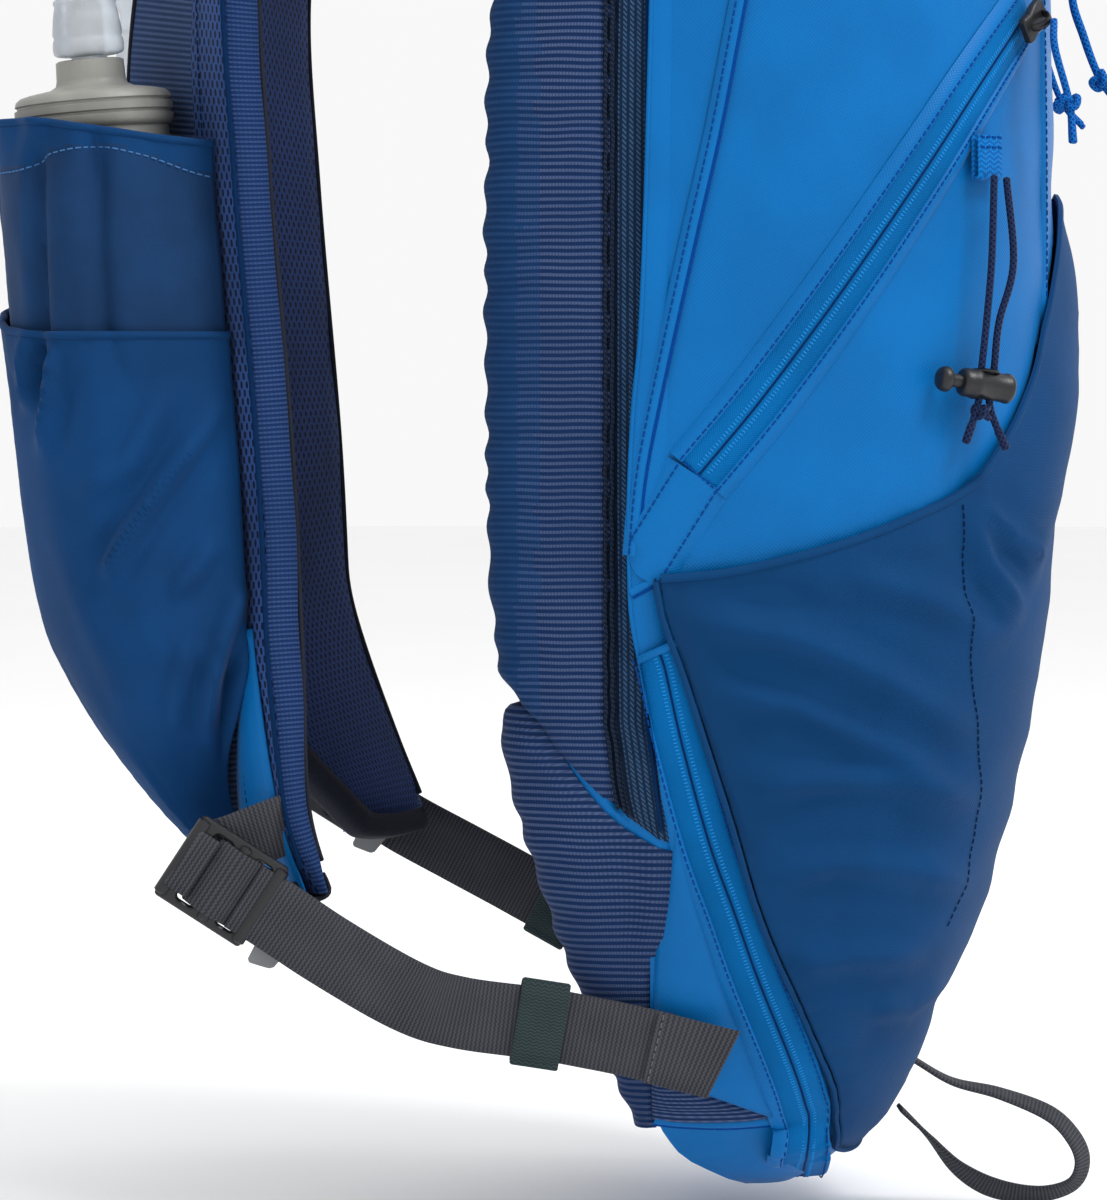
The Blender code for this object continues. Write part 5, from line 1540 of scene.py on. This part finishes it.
def sleeve_point(side, t, z, out):
    """Point of the sleeve at angle t, from the strap's outer edge round its front."""
    if side not in sleeve_frames:
        frames = strap_frames(side, 400)
        sleeve_frames[side] = [
            min(frames, key=lambda f: abs((f[0].z + f[1].z) / 2 - k * FRAME_STEP))
            for k in range(700)]
    a, b, _ = sleeve_frames[side][round(z / FRAME_STEP)]
    lateral, normal = mirror(LATERAL, side), mirror(OUTWARD, side)
    base = a - (a - b).normalized() * min(0.0465, 0.55 * (a - b).length)
    base.z = z
    base += normal * (STRAP_THICK / 2 + (0.0015 if side > 0 else 0.0040))
    x = (sleeve_wide(z) + out) * signed_power(math.cos(t), SLEEVE_SQUARE)
    if x > 0:
        x *= 1 - 0.92 * (1 - ease(z, 0.108, 0.156))
    y = (sleeve_reach(z) + out) * signed_power(math.sin(t), SLEEVE_SQUARE)
    return base + lateral * x + normal * y


def upper_wrinkle(t, z):
    drop = ease(z, 0.286, 0.302)
    scallop = 0.0011 * math.sin(t * 17 + 1.5 * wander(t * 3, 4.0)) * drop
    dents = -0.0022 * hump(t, 0.62 + (0.29 - z) * 1.2, 0.09) * (1 - drop)
    dents += -0.0026 * hump(t, 1.18 + (0.29 - z) * 2.6, 0.10) * (1 - drop)
    dents += -0.0014 * hump(t, 1.9, 0.14)
    return scallop + 1.5 * dents + 0.0010 * wander(t * 5, z * 40, 3.0) - 0.0010


# Folds of the flask pocket: a line of (distance round it, height), half width and height
POCKET_FOLDS = (
    (((0.0030, 0.2250), (0.018, 0.204), (0.0343, 0.1827), (0.041, 0.1742)), 0.0024, 0.0027),
    (((0.0075, 0.187), (0.014, 0.178), (0.0221, 0.169)), 0.0026, 0.0018),
    (((0.0005, 0.174), (0.0060, 0.163), (0.0113, 0.151)), 0.0026, 0.0021),
    (((0.0033, 0.158), (0.0055, 0.146), (0.0053, 0.137), (0.0023, 0.120)), 0.0024, -0.0030),
    (((0.0105, 0.156), (0.0120, 0.144), (0.0110, 0.128)), 0.0026, 0.0020),
    (((0.0533, 0.246), (0.0550, 0.232), (0.0558, 0.219)), 0.0020, 0.0018),
    (((0.0440, 0.243), (0.0480, 0.226), (0.0533, 0.208)), 0.0020, 0.0022),
    (((0.0485, 0.243), (0.0520, 0.222)), 0.0018, -0.0018),
    (((0.0150, 0.230), (0.0290, 0.208), (0.0440, 0.196)), 0.0026, 0.0013),
    (((0.0180, 0.160), (0.0230, 0.146), (0.0250, 0.132)), 0.0024, 0.0013),
)


def round_sleeve(t):
    """Distance round the sleeve from the strap's outer edge, for the folds."""
    return 0.0154 * (1 - signed_power(math.cos(t), 0.714)) + 0.042 * signed_power(math.sin(t), 0.714)


def lower_wrinkle(t, z):
    """Slanting folds, eased off at the opening so that the cloth clears the layer beneath."""
    floor = upper_wrinkle(t, z) + 0.0012 - 0.009 * (1 - ease(z, 0.196, 0.240))
    return max(lower_fold(t, z), floor)


def lower_fold(t, z):
    folds = 0.0
    for k, (line, wide, tall) in enumerate(POCKET_FOLDS):
        gap, share = line_gap(round_sleeve(t), z + 0.0010 * wander(t * 4, k), line)
        ends = ease(share, -0.05, 0.3) * ease(1 - share, 0.0, 0.3)
        folds += 1.7 * tall * ends * (hump(gap, 0.0, wide) - 0.3 * hump(gap, wide * 2.0, wide))
    fade = ease(z, 0.103, 0.125)
    return (folds - 0.0006) * fade + 0.0012 * wander(t * 3.2, z * 26, 9.0)


def top_edge(t):
    """Height of the lower pocket's opening at angle t."""
    return 0.2425 + 0.0095 * ease(t, 1.2, 2.9)


def sleeve_rows(side, angles, count, low, top, out):
    """Rows of one layer, from its low edge up to top(t), standing off by out(t, z)."""
    rows = []
    for i in range(count + 1):
        heights = [low + (top(t) - low) * i / count for t in angles]
        rows.append([sleeve_point(side, t, z, out(t, z)) for t, z in zip(angles, heights)])
    return rows


def lower_out(t, z):
    return lower_wrinkle(t, z) + 0.0008


def sleeve(tag, side, word):
    body = "strap_" + word
    half = [math.pi / 2 * (k / 50) ** 1.5 for k in range(51)]
    angles = half + [math.pi - t for t in reversed(half[:-1])]
    hem_top = smooth_line([(0.0, 0.2955), (0.6, 0.2990), (1.3, 0.3015), (2.0, 0.3010),
                           (2.6, 0.2995), (math.pi, 0.2985)])
    rows = sleeve_rows(side, angles, 40, SLEEVE_UPPER_LOW, hem_top, upper_wrinkle)
    bound = [sleeve_stitch(t) for t in angles]
    upper = thicken(grid_piece(f"sleeve_upper_{tag}", rows, [SLEEVE_THIN, SLEEVE_CLOTH],
                               zone=lambda i, j: int(rows[i][j].z > bound[j])),
                    STRETCH_THICK)
    wear(upper, body, [f"flask_sleeve_{tag}"], "stretch_fabric")
    roll = [sleeve_point(side, t, hem_top(t), upper_wrinkle(t, hem_top(t))) for t in angles]
    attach(tube(f"sleeve_hem_{tag}", roll, 0.0011, SLEEVE_CLOTH, 8), body)
    centre, facing = [], []
    for t in angles[1:-1]:
        z = sleeve_stitch(t)
        out = upper_wrinkle(t, z)
        centre.append(sleeve_point(side, t, z, out))
        facing.append((sleeve_point(side, t, z, out + 0.001) - centre[-1]).normalized())
    stitch(f"sleeve_stitches_{tag}", centre, facing, THREAD_LIGHT_NAVY, 0.0, 0.0006, body)
    rows = sleeve_rows(side, angles, 90, SLEEVE_LOW, top_edge, lower_out)
    lower = thicken(grid_piece(f"sleeve_lower_{tag}", rows, [SLEEVE_CLOTH]), 0.0009)
    wear(lower, body, [f"flask_sleeve_{tag}"], "stretch_fabric")
    edge = [sleeve_point(side, t, top_edge(t), lower_out(t, top_edge(t))) for t in angles]
    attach(tube(f"sleeve_piping_{tag}", edge, 0.0012, SLEEVE_CLOTH, 8), body)


# ---- Flask, cap and bite valve --------------------------------------------------------------
FLASK_TOP, FLASK_LEAN = Vector((0.0850, -0.1558, 0.302)), Vector((0.0, -0.083, 1.0)).normalized()
FLASK_HALF = (0.0262, 0.0190)
FLASK = ((0.152, 0.30), (0.158, 0.55), (0.168, 0.78), (0.182, 0.94), (0.200, 1.0),
         (0.230, 1.0), (0.255, 1.0), (0.272, 0.93), (0.280, 0.80))
CAP_PROFILE = ((0.0175, -0.0104), (0.0200, -0.0104), (0.0204, -0.0090), (0.0206, -0.0022),
               (0.0216, -0.0016), (0.0222, -0.0004), (0.0222, 0.0012), (0.0214, 0.0016),
               (0.0214, 0.0021), (0.0222, 0.0025), (0.0222, 0.0044), (0.0214, 0.0048),
               (0.0214, 0.0053), (0.0220, 0.0057), (0.0216, 0.0070), (0.0204, 0.0080),
               (0.0180, 0.0086), (0.0120, 0.0096), (0.0101, 0.0106), (0.0097, 0.0122),
               (0.0095, 0.0172), (0.0088, 0.0176), (0.0062, 0.0176), (0.0062, 0.0060))
VALVE_PROFILE = ((0.0046, 0.0050), (0.0050, 0.0185), (0.0090, 0.0190), (0.0098, 0.0196),
                 (0.0100, 0.0214), (0.0098, 0.0232), (0.0094, 0.0240), (0.0098, 0.0250),
                 (0.0092, 0.0300), (0.0086, 0.0330), (0.0089, 0.0336), (0.0088, 0.0344),
                 (0.0078, 0.0352), (0.0071, 0.0374), (0.0070, 0.0420), (0.0078, 0.0440),
                 (0.0083, 0.0458), (0.0081, 0.0490), (0.0070, 0.0520), (0.0048, 0.0538),
                 (0.0018, 0.0541))


def flask(tag, side, word):
    top, lean = mirror(FLASK_TOP, side), mirror(FLASK_LEAN, side)
    lateral, normal = mirror(LATERAL, side), mirror(OUTWARD, side)
    size_of = smooth_line(FLASK)
    rows = []
    for i in range(50):
        z = FLASK[0][0] + (FLASK[-1][0] - FLASK[0][0]) * i / 49
        centre = top + lean * ((z - top.z) / lean.z)
        row = []
        for k in range(48):
            x, y = spoke(k, 48)
            dent = 1 - 0.03 * hump(math.sin(4 * math.pi * k / 48 + z * 60), 1.0, 0.5)
            row.append(centre + (lateral * FLASK_HALF[0] * x + normal * FLASK_HALF[1] * y)
                       * size_of(z) * dent)
        rows.append(row)
    for along, radius in ((-0.017, 0.0165), (-0.010, 0.0165), (0.002, 0.0165)):
        row = []
        for k in range(48):
            x, y = spoke(k, 48)
            around = lateral * x + normal * y
            around = (around - lean * around.dot(lean)).normalized()
            row.append(top + lean * along + around * radius)
        rows.append(row)
    bottle = solid(f"flask_body_{tag}", rows, FILM)
    wear(bottle, "flask_" + word, [f"flask_{tag}"], "flask_film")
    cap = turned(f"flask_lid_{tag}", CAP_PROFILE, top, lean, CAP, 72)
    wear(cap, "flask_cap_" + word, [f"flask_cap_{tag}"], "cap_plastic")
    valve = turned(f"bite_{tag}", VALVE_PROFILE, top, lean, CLEAR, 48)
    wear(valve, "bite_valve_" + word, [f"bite_valve_{tag}"], "flask_film")
    stem = turned(f"bite_stem_{tag}", ((0.0030, 0.0190), (0.0034, 0.0200), (0.0034, 0.0330),
                                       (0.0022, 0.0350)), top, lean, CAP, 24)
    wear(stem, "bite_valve_" + word, [], "cap_plastic")


# ---- Side webbing and its hardware ----------------------------------------------------------
WEB_LINE = {
    1: ((0.1045, 0.0175, 0.0408), (0.1045, -0.0030, 0.0458), (0.1045, -0.0170, 0.0487),
        (0.1050, -0.0310, 0.0513), (0.1070, -0.0530, 0.0545), (0.1110, -0.0670, 0.0595),
        (0.1175, -0.0880, 0.0725), (0.1190, -0.1035, 0.0830), (0.1200, -0.1120, 0.0885)),
    -1: ((0.1045, 0.0175, 0.0430), (0.1060, -0.0030, 0.0490), (0.1075, -0.0200, 0.0560),
         (0.1100, -0.0350, 0.0638), (0.1140, -0.0470, 0.0700), (0.1180, -0.0600, 0.0765),
         (0.1200, -0.0780, 0.0860), (0.1200, -0.0880, 0.0925), (0.1200, -0.0965, 0.0975)),
}
KEEPER_AT = {1: -0.0310, -1: -0.0290}
LADDER_AT = {1: Vector((0.1200, -0.1180, 0.0925)), -1: Vector((0.1200, -0.1030, 0.1020))}
WEB_END = {1: Vector((0.1190, -0.1035, 0.0830)), -1: Vector((0.1200, -0.0880, 0.0925))}


def web_axes(along, side):
    along = along.normalized()
    out = Vector((side, 0, 0))
    out = (out - along * out.dot(along)).normalized()
    return along, out.cross(along) * side, out


def side_webbing(tag, side, word):
    line = [mirror(Vector(p), side) for p in WEB_LINE[side]]
    path = smooth_path(line, 96)
    outs = [web_axes(along, side)[2] for along in tangents(path)]
    keeper = min(path, key=lambda p: abs(p.y - KEEPER_AT[side]))
    ladder = mirror(LADDER_AT[side], side)
    for name, shift, first, last in (("tail", 0.0009, 0, 96), ("run", -0.0009, 9, 94)):
        centre = [p + out * (shift + 0.00025 * math.sin(k * 0.21 + shift * 900))
                  for k, (p, out) in enumerate(zip(path, outs))][first:last]
        piece = strip(f"webbing_{name}_{tag}", centre, outs[first:last], band(0.020, 0.0015),
                      [WEB])
        if name == "tail":
            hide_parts(f"side_webbing_{tag}")
        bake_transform(piece)
    fold_end(tag, side, path, outs)
    elastic_keeper(tag, side, word, path, keeper)


def fold_end(tag, side, path, outs):
    """The webbing's free end: folded over, cut at a slant and sewn down."""
    rows, width = [], 0.0204
    ways = tangents(path)
    for k in range(15):
        side_way = outs[k].cross(ways[k]).normalized()
        row = []
        for x, y in band(width, 0.0017):
            slant = (x * side / width) * 0.0045 * (1 - k / 14)
            row.append(path[k] + outs[k] * (0.0024 + y) + side_way * x + ways[k] * (slant - 0.0030))
        rows.append(row)
    wear(solid(f"web_fold_{tag}", rows, WEB), "pack", [], "webbing")
    seam = 11
    place = path[seam]
    side_way = outs[seam].cross(ways[seam]).normalized()
    spots = [(place + side_way * (0.0022 * j) + outs[seam] * 0.0034, side_way, outs[seam])
             for j in range(-4, 5)]
    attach(dashes(f"web_fold_stitches_{tag}", spots, THREAD_GREY, WEB_TACK), "pack")


def elastic_keeper(tag, side, word, path, keeper):
    """A loop of ribbed elastic round both layers of webbing."""
    k = path.index(keeper)
    along, across, out = web_axes(tangents(path)[k], side)
    loop, facing = [], []
    w, t = 0.0116, 0.0034 if side > 0 else 0.0041
    for i in range(49):
        a = 2 * math.pi * i / 48
        x, y = signed_power(math.cos(a), 0.42), signed_power(math.sin(a), 0.42)
        loop.append(keeper + across * w * x + out * t * y)
        facing.append((across * math.cos(a) * 0.4 + out * math.sin(a)).normalized())
    rows = []
    for i, (p, up) in enumerate(zip(loop, facing)):
        bulge = 0.0003 * math.sin(i * 0.9)
        rows.append([p + along * x + up * (y + bulge) for x, y in band(0.0135, 0.0011)])
    made = solid(f"keeper_band_{tag}", rows, ELASTIC)
    wear(made, "keeper_" + word, [f"keeper_{tag}"], "keeper_elastic")


def block(name, size, centre=0.0, corner=0.0):
    """A box, shifted along its first axis, with its long edges rounded where asked."""
    bm = bmesh.new()
    bmesh.ops.create_cube(bm, size=1.0)
    for vert in bm.verts:
        vert.co = Vector((vert.co.x * size[0] + centre, vert.co.y * size[1], vert.co.z * size[2]))
    if corner:
        bmesh.ops.bevel(bm, geom=[e for e in bm.edges
                                  if abs((e.verts[0].co - e.verts[1].co).z) > 0.01],
                        offset=corner, segments=4, affect="EDGES", profile=0.5)
    mesh = bpy.data.meshes.new(name)
    bm.to_mesh(mesh)
    bm.free()
    made = bpy.data.objects.new(name, mesh)
    bpy.context.scene.collection.objects.link(made)
    return made


def rounded_frame(name, place, axes, outer, holes, thick, material, bevel):
    """A flat plate with rounded corners and rectangular holes, on three axes."""
    made = block(name, (outer[0], outer[1], thick))
    tools = []
    for centre, wide, tall in holes:
        tool = block("hole", (wide, tall, 0.05), centre, 0.0012)
        boolean = made.modifiers.new("hole", "BOOLEAN")
        boolean.solver = "EXACT"
        boolean.object = tool
        tools.append(tool)
    bpy.context.view_layer.update()
    cut = bpy.data.meshes.new_from_object(
        made.evaluated_get(bpy.context.evaluated_depsgraph_get()))
    made.modifiers.clear()
    made.data = cut
    for tool in tools:
        bpy.data.objects.remove(tool, do_unlink=True)
    turn = Matrix((axes[0], axes[1], axes[2])).transposed().to_4x4()
    cut.transform(Matrix.Translation(place - HOOK) @ turn)
    cut.materials.clear()
    cut.materials.append(material)
    if turn.determinant() < 0:
        cut.flip_normals()
    return soften(made, bevel, 3)


def ladder_lock(tag, side, word):
    """Three-bar buckle with a thumb tab, held on the strap by a webbing tab."""
    place, end = mirror(LADDER_AT[side], side), mirror(WEB_END[side], side)
    axes = web_axes(place - end, side)
    body = "ladder_lock_" + word
    holes = ((-0.0075, 0.0055, 0.021), (0.0055, 0.0055, 0.021))
    frame_piece = rounded_frame(f"ladder_{tag}", place, axes, (0.028, 0.026), holes, 0.0034, BLACK,
                                0.0011)
    wear(frame_piece, body, [f"ladder_lock_{tag}"], "black_plastic")
    for k, shift in enumerate((-0.0125, -0.0010, 0.0125)):
        bar = [place + axes[0] * shift + axes[1] * y + axes[2] * 0.0006
               for y in (-0.0115, -0.006, 0.0, 0.006, 0.0115)]
        wear(tube(f"ladder_bar_{k}_{tag}", smooth_path(bar, 14), 0.0021, BLACK, 12), body, [],
             "black_plastic")
    weave_path = smooth_path([place - axes[0] * 0.0135 - axes[2] * 0.0030,
                              place - axes[0] * 0.0085 - axes[2] * 0.0004,
                              place - axes[0] * 0.0010 + axes[2] * 0.0034,
                              place + axes[0] * 0.0058 + axes[2] * 0.0002,
                              place + axes[0] * 0.0060 - axes[2] * 0.0030], 30)
    ups = [along.cross(axes[1]).normalized() for along in tangents(weave_path)]
    ups = [up if up.dot(axes[2]) > 0 else -up for up in ups]
    fill = strip(f"ladder_web_{tag}", weave_path, ups, band(0.0200, 0.0014), [WEB])
    wear(fill, body, [], "webbing")
    rows = []
    for k in range(13):
        t = k / 12
        half = 0.0085 * math.sqrt(max(1 - (2.0 * t - 1) ** 8, 0.0)) * (1 - 0.25 * t)
        centre = (place - axes[0] * (0.0125 + 0.0090 * t) - axes[2] * (0.0022 + 0.0030 * t)
                  - Vector((0, 0, 0.0085)))
        rows.append([centre + axes[1] * half * x + axes[2] * y
                     for x, y in ((-1, -0.0007), (-0.5, -0.0011), (0, -0.0012), (0.5, -0.0011),
                                  (1, -0.0007), (1, 0.0007), (0.5, 0.0011), (0, 0.0012),
                                  (-0.5, 0.0011), (-1, 0.0007))])
    wear(solid(f"ladder_tab_{tag}", rows, GREY_TAB), body, [], "black_plastic")
    a, b, normal = strap_frames(side, 22)[1]
    clear = 0.0032 if side > 0 else 0.0052
    start = (a + b) / 2 + (a - b) * 0.38 + normal * (STRAP_THICK / 2 + clear)
    tip = place + axes[0] * 0.0095 - axes[2] * 0.0030
    path = smooth_path([start + (start - tip) * 0.35 - normal * 0.0022, start,
                        start.lerp(tip, 0.5) + axes[2] * 0.0004, tip, tip + axes[2] * 0.0050
                        + axes[0] * 0.0030, tip + axes[2] * 0.0056 - axes[0] * 0.0035], 44)
    facing = [(axes[1].cross(along) * -1).normalized() for along in tangents(path)]
    tab = strip(f"strap_tab_web_{tag}", path, facing, band(0.018, 0.0015), [WEB])
    wear(tab, "strap_" + word, [f"strap_tab_{tag}"], "webbing")


# ---- Loops, chest strap and inside pieces ---------------------------------------------------
TOOL_LOOP = ((0.0000, 0.0785, 0.0270), (0.0005, 0.0900, 0.0205), (0.0010, 0.1041, 0.0170),
             (0.0015, 0.1189, 0.0111), (0.0015, 0.1264, 0.0037), (0.0010, 0.1290, -0.0037),
             (0.0000, 0.1260, -0.0105), (-0.0010, 0.1160, -0.0136), (-0.0020, 0.1030, -0.0120),
             (-0.0020, 0.0922, -0.0060), (-0.0015, 0.0833, 0.0037), (0.0000, 0.0745, 0.0125))


def tool_loop():
    path = smooth_path(TOOL_LOOP, 110)
    facing = []
    for k, along in enumerate(tangents(path)):
        out = Vector((1, 0, 0)).cross(along).normalized()
        roll = 0.55 * math.sin(math.pi * k / 109) ** 2 + 0.5 * hump(k, 80, 14)
        facing.append((out * math.cos(roll) + Vector((1, 0, 0)) * math.sin(roll)).normalized())
    piece = strip("tool_loop_web", path, facing, band(0.009, 0.0013), [WEB])
    wear(piece, "pack", ["tool_loop"], "webbing")


def haul_loop():
    route = ((-0.034, -0.003, 0.437), (-0.033, -0.0045, 0.455), (-0.030, -0.006, 0.470),
             (-0.022, -0.006, 0.4788), (0.0, -0.006, 0.4790), (0.022, -0.006, 0.4788),
             (0.030, -0.006, 0.470), (0.033, -0.0045, 0.455), (0.034, -0.003, 0.437))
    path = smooth_path(route, 90)
    facing = [Vector((0, 1, 0)).cross(along).normalized() * -1 for along in tangents(path)]
    piece = strip("haul_loop_web", path, facing, band(0.014, 0.0016), [WEB])
    wear(piece, "pack", ["haul_loop"], "webbing")
    for tag, side, _ in SIDES:
        spots = [(Vector((side * 0.0350, -0.0075 + 0.003 * k, 0.4400 + row * 0.004)),
                  Vector((0, 1, 0)), Vector((side, 0, 0))) for row in range(3) for k in range(4)]
        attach(dashes(f"haul_tack_{tag}", spots, THREAD_GREY, TACK), "pack")


def sternum_strap():
    """Chest strap in two halves, with a side-release buckle."""
    height = 0.372
    for tag, side, word in SIDES:
        near = 0.0175 if side > 0 else 0.0030
        route = [(side * near, -0.1520, height), (side * 0.032, -0.1520, height),
                 (side * 0.045, -0.1518, height), (side * 0.058, -0.1435, height)]
        path = smooth_path(route, 50)
        facing = [Vector((0, 0, 1)).cross(along).normalized() * side for along in tangents(path)]
        piece = strip(f"chest_web_{tag}", path, facing, band(0.015, 0.0016), [WEB])
        wear(piece, "strap_" + word, [f"sternum_strap_{tag}"], "webbing")
    for name in ("sternum_socket", "sternum_plug"):
        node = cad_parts[name]
        node.data.materials.clear()
        node.data.materials.append(BLACK)


def inside():
    """Foam sheet and water sleeve that show when the lid is open."""
    for name, node, centre, size, material, slot in (
            ("foam_sheet", "back_foam", (0, 0.0065, 0.225), (0.196, 0.0058, 0.33), LINING,
             "foam"),
            ("water_sleeve", "hydration_sleeve", (0, 0.0125, 0.25), (0.16, 0.0028, 0.25),
             STRETCH, "stretch_fabric")):
        rows = []
        for i in range(41):
            z = -0.5 + i / 40
            row = []
            for x, y in band(size[0], size[1]):
                bow = 0.0008 * wander(x * 30, z * 6, 4.0) if name == "water_sleeve" else 0.0
                row.append(Vector(centre) + Vector((x, y + bow, z * size[2])))
            rows.append(row)
        wear(solid(name, rows, material), "pack", [node], slot)
    centre = [Vector((x / 100 * 0.078, 0.0136, 0.3745)) for x in range(-100, 101, 5)]
    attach(strip("water_sleeve_binding", centre, [Vector((0, 1, 0))] * len(centre),
                  band(0.007, 0.0010), [BINDING]), "pack")


# ---- The whole scene ------------------------------------------------------------------------
studio()
shell()
front_seams()
front_pocket()
lower_zip()
lid_zips()
back_pads()
tool_loop()
haul_loop()
sternum_strap()
inside()
for tag, side, word in SIDES:
    bungee(tag, side, word)
    sliders_and_pulls(tag, side, word)
    shell_seams(tag, side)
    side_zip(tag, side)
    wings(tag, side)
    strap(tag, side, word)
    flask(tag, side, word)
    sleeve(tag, side, word)
    side_webbing(tag, side, word)
    ladder_lock(tag, side, word)
